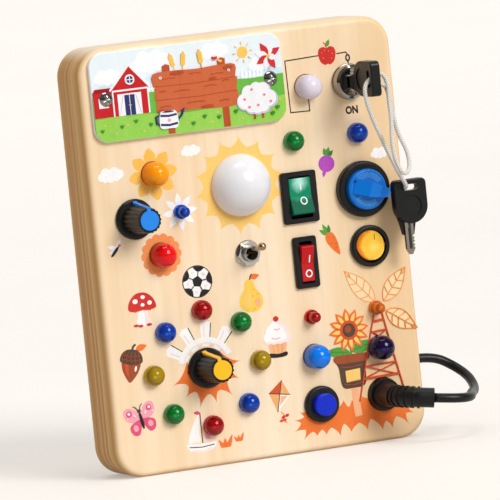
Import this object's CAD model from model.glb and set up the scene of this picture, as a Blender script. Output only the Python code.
# %% [markdown]
# # A wooden busy board
#
# A busy board is a flat wooden box with lamps, knobs and switches on its front. A small child
# presses, turns and flips them, and the lamps light up. In this lesson the solid parts come
# ready made, as a fixed frame. We give every part its finish, and add what is too thin or too
# soft for the solids: the printed pictures, the cords, the marks on the switches.
#
# We start by loading the frame. Every length in the script is in metres, apart from the outlines
# and routes that are placed by hand: those are in millimetres.

from math import cos, degrees, pi, radians, sin

import bmesh
import bpy
from mathutils import Matrix, Vector
from mathutils.bvhtree import BVHTree
from mathutils.geometry import tessellate_polygon


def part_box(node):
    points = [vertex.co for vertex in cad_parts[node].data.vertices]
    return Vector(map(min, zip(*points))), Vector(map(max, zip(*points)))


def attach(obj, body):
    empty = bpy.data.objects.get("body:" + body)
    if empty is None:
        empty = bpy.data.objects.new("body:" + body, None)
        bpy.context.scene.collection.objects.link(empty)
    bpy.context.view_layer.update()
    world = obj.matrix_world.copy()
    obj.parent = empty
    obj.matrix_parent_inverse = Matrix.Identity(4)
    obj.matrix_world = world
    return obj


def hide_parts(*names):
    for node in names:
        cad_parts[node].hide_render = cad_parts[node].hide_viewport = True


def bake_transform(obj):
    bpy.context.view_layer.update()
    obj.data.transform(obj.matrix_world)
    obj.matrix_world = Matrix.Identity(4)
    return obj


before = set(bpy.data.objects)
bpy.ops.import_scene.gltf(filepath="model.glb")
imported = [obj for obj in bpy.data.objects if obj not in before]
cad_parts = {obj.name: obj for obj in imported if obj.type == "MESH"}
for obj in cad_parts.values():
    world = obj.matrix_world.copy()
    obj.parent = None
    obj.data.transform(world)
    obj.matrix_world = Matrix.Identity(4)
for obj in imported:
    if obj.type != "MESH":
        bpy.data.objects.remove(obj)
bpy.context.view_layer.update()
MM = 0.001
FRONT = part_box("front_panel")[0].y


def middle_of(node):
    """The middle of a node's box as it is seen from the front: x and z in millimetres."""
    low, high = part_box(node)
    return (low.x + high.x) / 2 / MM, (low.z + high.z) / 2 / MM


# %% [markdown]
# ## The camera
#
# The board is seen from a little to its left and just above, from far away with a long lens, so
# its sides stay nearly parallel. The camera leans a few degrees. A camera can be aimed with a
# constraint, but here three directions are enough: the way back from the board to the camera,
# the picture's right and the picture's up. They are the columns of its matrix.

# %% Camera
VIEW_TURN = radians(-22.92)
VIEW_RISE = radians(4.92)
VIEW_LEAN = radians(-5.75)
VIEW_AT = Vector((0.00425, 0.0, 0.12103))
VIEW_DISTANCE = 3.821
LENS_MM, SENSOR_MM = 470.1, 36.0
NEAREST, FURTHEST = 0.1, 60.0


def add_to_scene(name, data):
    thing = bpy.data.objects.new(name, data)
    bpy.context.scene.collection.objects.link(thing)
    return thing


def add_camera():
    back = Vector((sin(VIEW_TURN) * cos(VIEW_RISE), -cos(VIEW_TURN) * cos(VIEW_RISE), sin(VIEW_RISE)))
    level = Vector((cos(VIEW_TURN), sin(VIEW_TURN), 0.0))
    upright = back.cross(level)
    right = cos(VIEW_LEAN) * level + sin(VIEW_LEAN) * upright
    up = cos(VIEW_LEAN) * upright - sin(VIEW_LEAN) * level
    data = bpy.data.cameras.new("camera")
    data.sensor_width, data.lens = SENSOR_MM, LENS_MM
    data.clip_start, data.clip_end = NEAREST, FURTHEST
    camera = add_to_scene("camera", data)
    aim = Matrix((right, up, back)).transposed().to_4x4()
    camera.matrix_world = Matrix.Translation(VIEW_AT + back * VIEW_DISTANCE) @ aim
    bpy.context.scene.camera = camera
    return camera


camera = add_camera()
print("camera at", [round(v, 3) for v in camera.matrix_world.translation], "lens", camera.data.lens)

# %% [markdown]
# ## Materials from nodes
#
# Every finish in this lesson is a Principled shader with a few nodes in front of it. Writing
# each link by hand soon fills pages, so one small helper adds a node, sets its inputs and
# links what it is given. Colours are written as they look on a screen, in hex, and are turned
# into the linear light that the shader expects.

# %% Helpers for node trees
def paint(code):
    """A colour written as it looks on a screen, as linear light."""
    parts = [int(code[i:i + 2], 16) / 255 for i in (1, 3, 5)]
    return tuple(c / 12.92 if c <= 0.04045 else ((c + 0.055) / 1.055) ** 2.4 for c in parts) + (1.0,)


def fill(tree, node, sockets):
    """Fills inputs, by name or number, each with a link, a hex colour or a plain value."""
    for key, value in sockets.items():
        if isinstance(value, bpy.types.NodeSocket):
            tree.links.new(value, node.inputs[key])
        else:
            node.inputs[key].default_value = paint(value) if isinstance(value, str) else value


def add_node(tree, kind, inputs=None, **settings):
    """Adds a node, sets its properties and fills its inputs."""
    node = tree.nodes.new(kind)
    for name, value in settings.items():
        setattr(node, name, value)
    fill(tree, node, inputs or {})
    return node


def new_finish(name, **sockets):
    """A new material with a Principled shader: the shader's plain values by socket name."""
    finish = bpy.data.materials.new(name)
    finish.use_nodes = True
    shader = finish.node_tree.nodes["Principled BSDF"]
    fill(finish.node_tree, shader, {key.replace("_", " "): value for key, value in sockets.items()})
    return finish, finish.node_tree, shader


def ramp(tree, factor, stops):
    """A colour ramp through (position, colour) stops."""
    node = add_node(tree, "ShaderNodeValToRGB", {"Fac": factor})
    while len(node.color_ramp.elements) < len(stops):
        node.color_ramp.elements.new(0.5)
    for element, (place, colour) in zip(node.color_ramp.elements, stops):
        element.position = place
        element.color = paint(colour)
    return node.outputs["Color"]


def own_place(tree):
    """The place of each spot of the surface on its own object, in metres."""
    return add_node(tree, "ShaderNodeTexCoord").outputs["Object"]


def noise(tree, scale, detail=3.0, roughness=0.5, stretch=None, distortion=0.0, seed=0.0):
    """Noise on the object's own coordinates, stretched by three factors where given."""
    place = own_place(tree)
    if stretch:
        inputs = {"Vector": place, "Scale": stretch, "Location": (seed, seed, seed)}
        place = add_node(tree, "ShaderNodeMapping", inputs).outputs[0]
    inputs = {"Vector": place, "Scale": scale, "Detail": detail, "Roughness": roughness}
    return add_node(tree, "ShaderNodeTexNoise", {**inputs, "Distortion": distortion}).outputs["Fac"]


def remap(tree, value, low=0.0, high=1.0, start=0.0, end=1.0):
    """Takes start..end to low..high."""
    inputs = {"Value": value, "From Min": start, "From Max": end, "To Min": low, "To Max": high}
    return add_node(tree, "ShaderNodeMapRange", inputs).outputs["Result"]


def blend_colours(tree, factor, first, second):
    """Two colours mixed by a factor; each may be a hex colour or a link."""
    return add_node(tree, "ShaderNodeMix", {0: factor, 6: first, 7: second}, data_type="RGBA").outputs[2]


def maths(tree, operation, first, second=0.0):
    """One Math node."""
    return add_node(tree, "ShaderNodeMath", {0: first, 1: second}, operation=operation).outputs[0]


def vector_maths(tree, operation, *vectors):
    """One Vector Math node: a vector, or a number where the operation gives one."""
    node = add_node(tree, "ShaderNodeVectorMath", dict(enumerate(vectors)), operation=operation)
    return node.outputs["Value" if operation in ("DOT_PRODUCT", "LENGTH") else "Vector"]


def axes_of(tree, vector):
    """A vector taken apart: its numbers by X, Y and Z."""
    return add_node(tree, "ShaderNodeSeparateXYZ", {"Vector": vector}).outputs


def normal_of(tree):
    return add_node(tree, "ShaderNodeNewGeometry").outputs["Normal"]


def facing_front(tree, normal):
    """How far a surface faces the front of the board: 1 straight on, 0 from its side."""
    return maths(tree, "MULTIPLY", axes_of(tree, normal)["Y"], -1.0)


def bump(tree, shader, height, distance, strength=1.0):
    """Links a height to the shader's normal, as relief of that depth in metres."""
    node = add_node(tree, "ShaderNodeBump", {"Height": height, "Distance": distance, "Strength": strength})
    tree.links.new(node.outputs["Normal"], shader.inputs["Normal"])


print("helpers ready")

# %% [markdown]
# ## The studio
#
# The board stands on a wide pale floor under soft light. A broad lamp far to the front and
# right does most of the work. A small one in the same place gives each lens its bright spot,
# and a panel overhead draws a faint second one, as a soft box does. The world is darker than
# the lamps, and darker still to gloss, so that it fills the shadows but lays no grey veil on
# glossy black. For the same reason gloss sees the floor in front of the board as dark. Together
# they light a surface at a level of about one, at which a colour looks as it is written. The
# camera sees a nearly white background, and so do gloss and glass, where they mirror what lies
# behind the board. That white puts no more light on the board, and the floor keeps its shadow.

# %% Floor and world
FLOOR_SIDE, FLOOR_NEAR, FLOOR_FAR = 14.0, -6.0, 30.0
GLOW_NEAR, GLOW_FAR = 0.34, 0.44  # what the seen floor adds, by the board and behind it
DARK_FLOOR_SHARE = 0.75  # how much darker gloss sees the floor in front of the board
WORLD_FRONT, WORLD_BACK = 0.56, 0.62  # the room's strength before and behind the board
WORLD_IN_GLOSS = 0.33  # the share of it that gloss sees


def ray_kinds(tree):
    """Who looks: the camera, a gloss ray, and a ray that is mirrored or passes through glass."""
    rays = add_node(tree, "ShaderNodeLightPath").outputs
    mirrored = maths(tree, "MAXIMUM", rays["Is Glossy Ray"], rays["Is Transmission Ray"])
    return rays["Is Camera Ray"], rays["Is Glossy Ray"], mirrored


def add_floor():
    mesh = bpy.data.meshes.new("floor")
    near = [(-FLOOR_SIDE, FLOOR_NEAR, 0), (FLOOR_SIDE, FLOOR_NEAR, 0)]
    far = [(FLOOR_SIDE, FLOOR_FAR, 0), (-FLOOR_SIDE, FLOOR_FAR, 0)]
    mesh.from_pydata(near + far, [], [(0, 1, 2, 3)])
    floor = add_to_scene("floor", mesh)
    finish, tree, shader = new_finish("pale_floor", Roughness=0.75)
    camera_ray, gloss_ray, mirrored = ray_kinds(tree)
    seen = maths(tree, "MAXIMUM", camera_ray, mirrored)
    depth = axes_of(tree, own_place(tree))["Y"]
    strength = remap(tree, depth, GLOW_NEAR, GLOW_FAR, start=0.3, end=3.0)
    in_front = remap(tree, depth, DARK_FLOOR_SHARE, 0.0, start=-0.15, end=0.05)
    pale = ramp(tree, noise(tree, 3.0), [(0.3, "#d1ccc5"), (0.7, "#d5d0ca")])
    dark = maths(tree, "MULTIPLY", in_front, gloss_ray)
    fill(tree, shader, {"Base Color": blend_colours(tree, dark, pale, "#2e2c2a")})
    inputs = {"Color": "#fffaf3", "Strength": maths(tree, "MULTIPLY", seen, strength)}
    glow = add_node(tree, "ShaderNodeEmission", inputs)
    both = add_node(tree, "ShaderNodeAddShader", {0: shader.outputs[0], 1: glow.outputs[0]})
    fill(tree, tree.nodes["Material Output"], {"Surface": both.outputs[0]})
    mesh.materials.append(finish)


def add_world():
    """A plain room: pale above, darker level with the board, which gives chrome something to reflect."""
    world = bpy.data.worlds.new("studio")
    bpy.context.scene.world = world
    world.use_nodes = True
    tree = world.node_tree
    axes = axes_of(tree, add_node(tree, "ShaderNodeTexCoord").outputs["Generated"])
    height = remap(tree, axes["Z"], 0.5, 1.0)
    room = ramp(tree, height, [(0.40, "#b4aea6"), (0.5, "#77726d"), (0.58, "#a9a6a3"), (0.74, "#f2f3f5")])
    behind = remap(tree, axes["Y"], end=0.3)
    camera_ray, gloss_ray, mirrored = ray_kinds(tree)
    seen = maths(tree, "MAXIMUM", camera_ray, maths(tree, "MULTIPLY", behind, mirrored))
    level = remap(tree, behind, WORLD_FRONT, WORLD_BACK)
    dim = maths(tree, "MULTIPLY", level, remap(tree, gloss_ray, 1.0, WORLD_IN_GLOSS))
    colour = blend_colours(tree, seen, room, "#fbf9f6")
    fill(tree, tree.nodes["Background"], {"Color": colour, "Strength": maths(tree, "MAXIMUM", seen, dim)})


add_floor()
add_world()
bpy.context.scene.view_settings.view_transform = "Standard"

# %% Lamps
LIGHT_FROM = Vector((0.30, -0.80, 0.50))
PANEL_AT = Vector((0.1, -0.35, 2.3))
PANEL_WIDTH, PANEL_DEPTH = 1.3, 0.5
PANEL_WATTS = 9.0


def add_lamp(name, energy, angle):
    data = bpy.data.lights.new(name, "SUN")
    data.energy, data.angle = energy, radians(angle)
    lamp = add_to_scene(name, data)
    lamp.rotation_mode = "QUATERNION"
    lamp.rotation_quaternion = LIGHT_FROM.to_track_quat("Z", "Y")


def add_panel():
    data = bpy.data.lights.new("overhead_panel", "AREA")
    data.shape, data.size, data.size_y, data.energy = "RECTANGLE", PANEL_WIDTH, PANEL_DEPTH, PANEL_WATTS
    add_to_scene("overhead_panel", data).location = PANEL_AT


add_lamp("broad_lamp", 1.82, 32)
add_lamp("bright_spot", 0.38, 15)
add_panel()
print("lamps", sorted(light.name for light in bpy.data.lights))

# %% [markdown]
# ## Wood
#
# The box is birch plywood. Its face shows a faint upright grain, and its edges show the thin
# layers that the sheet is glued from, as long stripes. One material does both. Noise that is
# stretched along Z gives the grain. On the edges, noise that is stretched everywhere but
# through the thickness gives the stripes. The surface's own normal chooses between the two, so
# the stripes appear where the rounding begins to turn away from the face.

# %% Birch plywood
STRIPE_SEED, THREAD_SEED = 3.0, 5.0
EDGE_STRIPES = [(0.34, "#c48334"), (0.47, "#d89c44"), (0.56, "#e6b05a"), (0.7, "#f0c578")]
EDGE_THREAD, EDGE_TOP, FINE_GRAIN = "#a87030", "#f3e4cb", "#dfb27c"


def birch_plywood(name, pale, deep, streak, seed):
    """Upright grain on the faces, stripes of layers on the edges, chosen by the surface's normal."""
    finish, tree, shader = new_finish(name, Roughness=0.45, Specular_IOR_Level=0.35)
    broad = noise(tree, 13.0, 3.0, 0.55, (1.0, 1.0, 0.12), 0.6, seed)
    fine = noise(tree, 190.0, 4.0, 0.6, (1.0, 1.0, 0.03), 0.3, seed)
    face = ramp(tree, broad, [(0.36, deep), (0.5, pale), (0.66, streak)])
    face = blend_colours(tree, remap(tree, fine, -0.12, 0.42), face, FINE_GRAIN)
    layers = noise(tree, 46.0, 2.0, 0.5, (0.05, 8.0, 0.04), 0.2, seed + STRIPE_SEED)
    threads = noise(tree, 300.0, 3.0, 0.6, (0.03, 2.2, 0.025), 0.1, seed + THREAD_SEED)
    edge = ramp(tree, layers, EDGE_STRIPES)
    edge = blend_colours(tree, remap(tree, threads, -0.05, 0.5), edge, EDGE_THREAD)
    axes = axes_of(tree, normal_of(tree))
    upward = remap(tree, axes["Z"], start=0.6, end=0.95)
    edge = blend_colours(tree, maths(tree, "MULTIPLY", upward, 0.72), edge, EDGE_TOP)
    share = remap(tree, maths(tree, "ABSOLUTE", axes["Y"]), start=0.3, end=0.9)
    colour = blend_colours(tree, share, edge, face)
    fill(tree, shader, {"Base Color": colour, "Roughness": remap(tree, fine, 0.36, 0.52)})
    bump(tree, shader, fine, 0.00006, 0.6)
    return finish


front_wood = birch_plywood("front_plywood", "#f9e2c1", "#f1d0a3", "#fbead0", 1.0)
frame_wood = birch_plywood("frame_plywood", "#f0d0a0", "#e8c28e", "#f3d8ae", 7.0)
back_wood = birch_plywood("back_plywood", "#f0d3a8", "#e8c594", "#f4dcb8", 12.0)
print("wood", front_wood.name, frame_wood.name, back_wood.name)

# %% [markdown]
# ## Moulded plastic
#
# Opaque plastic parts share one recipe: a colour that drifts very slightly, a roughness that
# varies a little where fingers have polished it, and a fine grain from the mould. The recipe
# is a function, and each part calls it with its own colour and gloss.

# %% Plastics
def moulded_plastic(name, colour, shade, roughness, grain=0.00002, coat=0.0, grain_scale=1500.0):
    finish, tree, shader = new_finish(name, Specular_IOR_Level=0.3, Coat_Weight=coat, Coat_Roughness=0.08)
    drift = remap(tree, noise(tree, 60.0, 2.0), 0.0, 1.0)
    worn = remap(tree, noise(tree, 220.0, 4.0, 0.6), roughness * 0.75, roughness * 1.3)
    fill(tree, shader, {"Base Color": blend_colours(tree, drift, colour, shade), "Roughness": worn})
    bump(tree, shader, noise(tree, grain_scale, 2.0), grain, 0.5)
    return finish


black_satin = moulded_plastic("black_satin_plastic", "#1b1b1b", "#121212", 0.34)
black_gloss = moulded_plastic("black_gloss_plastic", "#161616", "#0d0d0d", 0.18, 0.00001)
black_rubber = moulded_plastic("black_soft_plastic", "#1d1b1a", "#141312", 0.38, 0.00003)
bow_black = moulded_plastic("key_bow_plastic", "#1c1c1c", "#131313", 0.30, 0.00004, grain_scale=900.0)
blue_cap = moulded_plastic("blue_cap_plastic", "#2589ea", "#1b7ce0", 0.32)
yellow_cap = moulded_plastic("yellow_cap_plastic", "#fec421", "#f8b50c", 0.32)
selector_blue = moulded_plastic("selector_blue_plastic", "#0680e4", "#0472d4", 0.2, coat=0.1)
button_blue = moulded_plastic("button_blue_plastic", "#012cce", "#0124ba", 0.3)
rocker_red = moulded_plastic("rocker_red_plastic", "#cc1016", "#bd0b11", 0.45)
bulb_white = moulded_plastic("dome_light_white", "#f4f2ec", "#ece9e2", 0.35)
circuit_green = moulded_plastic("circuit_board_green", "#1d6a3f", "#175a34", 0.35)
cell_wrap = moulded_plastic("battery_wrap", "#2e3440", "#262b36", 0.25, coat=0.3)
print("plastics", sum("plastic" in m.name for m in bpy.data.materials))

# %% [markdown]
# ## Lamp lenses
#
# The small lenses are clear coloured plastic over a bulb. They look deep: dark on the shoulder,
# lighter where the wall near the foot pipes the light along, with a glimmer of the bulb in the
# middle. Fully clear glass would need many more samples for the same look, so the depth is
# drawn from the way the surface faces, and a share of real transmission stays under it. The
# dark purple ball is made the same way. The other ball lenses and the dome are cloudy, and
# their colour is nearly even, a little different at the wall.

# %% Clear lenses
BULB_WAY = (-0.32, -0.945, -0.05)  # the way the surface faces where the bulb glimmers
LENS_GLOSS = 0.035


def deep_colour(tree, shoulder, middle, foot, glimmer):
    """The colour of a domed lens by how its surface faces: foot at the wall, glimmer at the bulb."""
    normal = normal_of(tree)
    stops = [(0.0, foot), (0.12, foot), (0.42, shoulder), (0.86, middle)]
    body = ramp(tree, facing_front(tree, normal), stops)
    spot = remap(tree, vector_maths(tree, "DOT_PRODUCT", normal, BULB_WAY), start=0.978, end=0.997)
    return blend_colours(tree, maths(tree, "MULTIPLY", spot, 0.75), body, glimmer)


def clear_lens(name, *colours, clearness=0.1):
    """One set of four colours, or several sets in turn along X, with the places where they change."""
    look = {"IOR": 1.45, "Specular_IOR_Level": 0.42, "Transmission_Weight": clearness}
    finish, tree, shader = new_finish(name, **look)
    colour = deep_colour(tree, *colours[0])
    across = axes_of(tree, own_place(tree))["X"]
    for edge, more in zip(colours[1::2], colours[2::2]):
        beyond = maths(tree, "GREATER_THAN", across, edge)
        colour = blend_colours(tree, beyond, colour, deep_colour(tree, *more))
    gloss = remap(tree, noise(tree, 700.0, 2.0), LENS_GLOSS * 0.7, LENS_GLOSS * 1.6)
    fill(tree, shader, {"Base Color": colour, "Roughness": gloss})
    return finish


RED_LENS = ("#860104", "#a40206", "#c41418", "#e01f1e")
GREEN_LENS = ("#015219", "#03762a", "#149446", "#1cb254")
YELLOW_LENS = ("#896c02", "#ab8a02", "#c6a412", "#dabb2a")
BLUE_LENS = ("#012686", "#023aaa", "#0f58c8", "#2e72dc")
AMBER_LENS = ("#ad4803", "#cc5f08", "#dd7a1c", "#f0a04a")
PURPLE_LENS = ("#0e0326", "#180736", "#33195a", "#3a1f78")
red_glass = clear_lens("red_lens_plastic", RED_LENS)
green_glass = clear_lens("green_lens_plastic", GREEN_LENS)
yellow_glass = clear_lens("yellow_lens_plastic", YELLOW_LENS)
blue_glass = clear_lens("blue_lens_plastic", BLUE_LENS)
bullet_glass = clear_lens("bullet_lens_plastic", BLUE_LENS, 0.0, RED_LENS, 0.05, AMBER_LENS, clearness=0.04)
purple_glass = clear_lens("purple_lens_plastic", PURPLE_LENS, clearness=0.03)
print("clear lenses", sorted(m.name for m in bpy.data.materials if m.name.endswith("lens_plastic")))

# %% Cloudy lenses
def cloudy_lens(name, colour, deep, rim, roughness=0.05):
    """A milky lens: nearly even, a little deeper where its wall turns away from the front."""
    finish, tree, shader = new_finish(
        name, IOR=1.45, Specular_IOR_Level=0.45,
        Subsurface_Weight=0.12, Subsurface_Radius=(0.003, 0.003, 0.003), Subsurface_Scale=1.0,
    )
    body = ramp(tree, noise(tree, 70.0, 2.0), [(0.3, deep), (0.7, colour)])
    share = remap(tree, facing_front(tree, normal_of(tree)), start=0.1, end=0.8)
    gloss = remap(tree, noise(tree, 500.0, 2.0), roughness * 0.7, roughness * 1.4)
    fill(tree, shader, {"Base Color": blend_colours(tree, share, rim, body), "Roughness": gloss})
    return finish


orange_milk = cloudy_lens("orange_cloudy_plastic", "#ff9f00", "#fb9400", "#f58a00")
red_milk = cloudy_lens("red_cloudy_plastic", "#f01417", "#e00d10", "#d00a0d")
lilac_milk = cloudy_lens("lilac_cloudy_plastic", "#e6ddea", "#dbd1e0", "#d2c8dc")
sky_milk = cloudy_lens("light_blue_cloudy_plastic", "#0682f0", "#0474e0", "#0565c8")
dome_milk = cloudy_lens("dome_milky_plastic", "#e9e8eb", "#e4e3e6", "#ebe8e9", 0.12)
print("cloudy lenses", sorted(m.name for m in bpy.data.materials if "cloudy" in m.name), dome_milk.name)

# %% [markdown]
# The green and the amber rocker are see-through and have a small lamp behind them. They are
# lighter round that lamp, so their colour follows the distance from it, seen from the front.

# %% Rockers with a lamp behind them
AMBER_LAMP, AMBER_SPREAD = (0.0747, 0.0, 0.1156), 0.0096
GREEN_LAMP, GREEN_SPREAD = (0.0311, 0.0, 0.1585), 0.0125
WAVER = 0.35


def lit_rocker(name, colour, deep, glow, lamp, spread):
    """A see-through rocker: glowing by its lamp, and deep from about spread metres away."""
    look = {"IOR": 1.45, "Specular_IOR_Level": 0.05, "Transmission_Weight": 0.05, "Roughness": 0.4}
    finish, tree, shader = new_finish(name, **look)
    apart = vector_maths(tree, "SUBTRACT", own_place(tree), lamp)
    away = vector_maths(tree, "LENGTH", vector_maths(tree, "MULTIPLY", apart, (1.0, 0.0, 1.0)))
    uneven = maths(tree, "MULTIPLY", maths(tree, "SUBTRACT", noise(tree, 260.0, 2.0), 0.5), WAVER)
    wavy = maths(tree, "ADD", maths(tree, "DIVIDE", away, spread), uneven)
    stops = [(0.1, glow), (0.5, colour), (0.8, colour), (1.0, deep)]
    fill(tree, shader, {"Base Color": ramp(tree, wavy, stops)})
    bump(tree, shader, noise(tree, 500.0, 2.0), 0.00001, 0.4)
    return finish


amber_glass = lit_rocker("amber_rocker_plastic", "#fdc640", "#e07a12", "#ffd75c", AMBER_LAMP, AMBER_SPREAD)
rocker_green = lit_rocker("green_rocker_plastic", "#178c66", "#0a6347", "#b0ecdc", GREEN_LAMP, GREEN_SPREAD)
print("lit rockers", amber_glass.name, rocker_green.name)

# %% [markdown]
# ## Metal
#
# Chrome is a mirror, so most of its look is what it reflects. What makes it believable is wear:
# hair scratches that stretch one way, and a roughness that changes from spot to spot. Brushed
# key steel has the same recipe with more of both.

# %% Metals
def metal(name, colour, shade, roughness, scratch, stretch=(1.0, 1.0, 1.0)):
    finish, tree, shader = new_finish(name, Metallic=1.0)
    patchy = blend_colours(tree, noise(tree, 120.0, 3.0), colour, shade)
    hair = noise(tree, 900.0, 3.0, 0.6, stretch)
    worn = remap(tree, hair, roughness * 0.6, roughness * 1.5)
    fill(tree, shader, {"Base Color": patchy, "Roughness": worn})
    bump(tree, shader, hair, scratch, 0.5)
    return finish


chrome = metal("polished_chrome", "#b3aca2", "#9d958a", 0.08, 0.000004)
nut_chrome = metal("bright_nut_chrome", "#dcd7d0", "#c6bfb6", 0.12, 0.000004)
screw_chrome = metal("screw_chrome", "#b4b1ad", "#94918d", 0.1, 0.000004)
nickel = metal("nickel_lever", "#bda88a", "#a89274", 0.12, 0.000006)
steel = metal("key_steel", "#b5aca0", "#9a9186", 0.2, 0.00002, (1.0, 0.08, 0.2))
groove_steel = metal("key_groove_steel", "#5a534b", "#4b453e", 0.35, 0.00001)
zinc = metal("zinc_screw", "#cfccc6", "#b9b5ae", 0.22, 0.00001)
brass = metal("contact_brass", "#d8b15a", "#c79d45", 0.25, 0.00001)
terminal_tin = metal("terminal_tin", "#c9c9c6", "#b5b5b2", 0.3, 0.00001)
print("metals", ", ".join(m.name for m in (chrome, nickel, steel, zinc, brass, terminal_tin)))

# %% [markdown]
# ## Every solid gets its finish
#
# The solids are triangles that already carry smooth normals, and they stay as they are. Only
# their material slots change. A table of node names keeps this short and easy to read.

# %% Finishes for the solid parts
plate_white = moulded_plastic("plate_white_gloss", "#f5f5f3", "#efeeec", 0.16, 0.000008, 0.4)
FINISHES = {
    front_wood: ["front_panel"],
    frame_wood: ["frame"],
    back_wood: ["back_panel"],
    plate_white: ["picture_plate"],
    black_satin: [
        "blue_knob", "yellow_knob", "green_rocker_housing", "red_rocker_housing", "round_rocker_housing",
        "selector_body", "push_button_body", "rotary_switches", "battery_tray", "battery_cover",
    ],
    black_gloss: ["jack_socket", "cable_gland"],
    black_rubber: ["plug_body"],
    bow_black: ["key_bow", "spare_key_bow"],
    blue_cap: ["blue_knob_cap"],
    yellow_cap: ["yellow_knob_cap"],
    selector_blue: ["selector_knob"],
    button_blue: ["push_button_cap"],
    rocker_red: ["red_rocker"],
    rocker_green: ["green_rocker"],
    amber_glass: ["round_rocker"],
    red_glass: ["red_indicator_lenses"],
    green_glass: ["green_indicator_lenses"],
    yellow_glass: ["yellow_indicator_lenses"],
    blue_glass: ["blue_indicator_lenses"],
    bullet_glass: ["bullet_lenses"],
    purple_glass: ["purple_ball_lens"],
    orange_milk: ["orange_ball_lens"],
    red_milk: ["red_ball_lens"],
    lilac_milk: ["lilac_ball_lens"],
    sky_milk: ["light_blue_ball_lens"],
    dome_milk: ["dome_lens"],
    bulb_white: ["dome_light", "lamp_holders"],
    chrome: ["lock_body", "lock_cylinder"],
    nut_chrome: ["toggle_nut"],
    screw_chrome: ["picture_plate_screws"],
    nickel: ["toggle_lever"],
    steel: ["key_blade", "spare_key_blade"],
    zinc: ["back_panel_screws", "battery_cover_screw", "push_button_spring", "panel_nuts", "plug_pin"],
    terminal_tin: ["toggle_body", "blue_knob_shaft", "yellow_knob_shaft"],
    brass: ["battery_contacts"],
    cell_wrap: ["batteries"],
    circuit_green: ["control_board"],
}

for finish, names in FINISHES.items():
    for name in names:
        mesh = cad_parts[name].data
        mesh.materials.clear()
        mesh.materials.append(finish)
dressed = {name for names in FINISHES.values() for name in names}
print("stood for by cords:", sorted(set(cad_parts) - dressed))

# %% [markdown]
# ## Cords
#
# Two soft cords cross joints: the black lead from the plug back into the box, and the white
# lanyard that holds the spare key. Each is a smooth line through a few hand-placed points: a
# NURBS spline, which bends evenly like something flexible. Blender turns the spline into
# points, and we skin a round tube over them ourselves. That gives the tube its own UV map,
# with one unit along it for each millimetre, which the braid pattern needs.

# %% A tube along a NURBS route
ROUTE_STEPS = 10
TUBE_SIDES = 20


def plain_mesh(carrier):
    """A curve's or a modifier's result as a mesh of its own; the object that carried it stays."""
    return bpy.data.meshes.new_from_object(carrier.evaluated_get(bpy.context.evaluated_depsgraph_get()))


def route_points(points_mm):
    """The smooth line through hand-placed control points, as points in metres."""
    data = bpy.data.curves.new("route", "CURVE")
    data.dimensions = "3D"
    spline = data.splines.new("NURBS")
    spline.points.add(len(points_mm) - 1)
    for point, place in zip(spline.points, points_mm):
        point.co = (*[v * MM for v in place], 1.0)
    spline.order_u = 3
    spline.use_endpoint_u = True
    data.resolution_u = ROUTE_STEPS
    carrier = add_to_scene("route", data)
    line = [v.co.copy() for v in plain_mesh(carrier).vertices]
    bpy.data.objects.remove(carrier)
    return line


def line_length(line):
    return sum((b - a).length for a, b in zip(line, line[1:]))


def finish_mesh(name, shape, *finishes):
    """Turns a bmesh into a named object in the scene, with its materials."""
    mesh = bpy.data.meshes.new(name)
    shape.to_mesh(mesh)
    shape.free()
    for finish in finishes:
        mesh.materials.append(finish)
    return add_to_scene(name, mesh)


def skin_tube(name, line, diameter, finish, sides=TUBE_SIDES):
    """A closed round tube over a line of points, with UV: once round, and a unit a millimetre along."""
    shape = bmesh.new()
    layer = shape.loops.layers.uv.new("along")
    ways = [(b - a).normalized() for a, b in zip(line, line[1:])]
    ways = [ways[0]] + [(a + b).normalized() for a, b in zip(ways, ways[1:])] + [ways[-1]]
    side = ways[0].orthogonal().normalized()
    turns = [2 * pi * k / sides for k in range(sides)]
    rings, travelled, gone = [], [], 0.0
    for index, (place, way) in enumerate(zip(line, ways)):
        side = (side - way * side.dot(way)).normalized()
        other = way.cross(side)
        gone += (place - line[index - 1]).length if index else 0.0
        travelled.append(gone / MM)
        around = [(side * cos(t) + other * sin(t)) * diameter / 2 for t in turns]
        rings.append([shape.verts.new(place + out) for out in around])
    for i in range(len(rings) - 1):
        for k in range(sides):
            j = (k + 1) % sides
            face = shape.faces.new((rings[i][k], rings[i][j], rings[i + 1][j], rings[i + 1][k]))
            face.smooth = True
            corners = ((k, i), (k + 1, i), (k + 1, i + 1), (k, i + 1))
            for loop, (u, v) in zip(face.loops, corners):
                loop[layer].uv = (u / sides, travelled[v])
    shape.faces.new(list(reversed(rings[0])))
    shape.faces.new(rings[-1])
    return finish_mesh(name, shape, finish)


print("a tube has", TUBE_SIDES, "sides and", ROUTE_STEPS, "rings from one point of its route to the next")

# %% [markdown]
# ### The lead
#
# A round black lead. It leaves the box through a gland in the right side, swings out in one
# loose loop and comes back to the plug. The plug can be pulled out, so the lead bends between
# the board and the plug.

# %% The lead
LEAD_D = 5.6
LEAD_ROUTE = [
    (105.5, 5.0, 43.0),
    (116.9, 5.0, 43.0),
    (128.7, 1.2, 35.7),
    (132.4, -10.3, 29.4),
    (129.6, -22.9, 22.9),
    (119.6, -36.9, 23.0),
    (113.8, -51.1, 22.6),
    (100.971, -57.975, 23.685),
    (88.668, -52.955, 25.414),
]


def lead_jacket():
    finish, tree, shader = new_finish("lead_jacket", Specular_IOR_Level=0.3)
    colour = ramp(tree, noise(tree, 300.0, 3.0), [(0.3, "#111111"), (0.7, "#191818")])
    worn = remap(tree, noise(tree, 400.0, 3.0), 0.28, 0.42)
    fill(tree, shader, {"Base Color": colour, "Roughness": worn})
    bump(tree, shader, noise(tree, 1200.0, 2.0), 0.00002, 0.5)
    return finish


lead_line = route_points(LEAD_ROUTE)
lead = skin_tube("lead_cord", lead_line, LEAD_D * MM, lead_jacket())
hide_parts("lead")
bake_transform(lead)
print("lead length", round(line_length(lead_line) / MM, 1), "mm")

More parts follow.
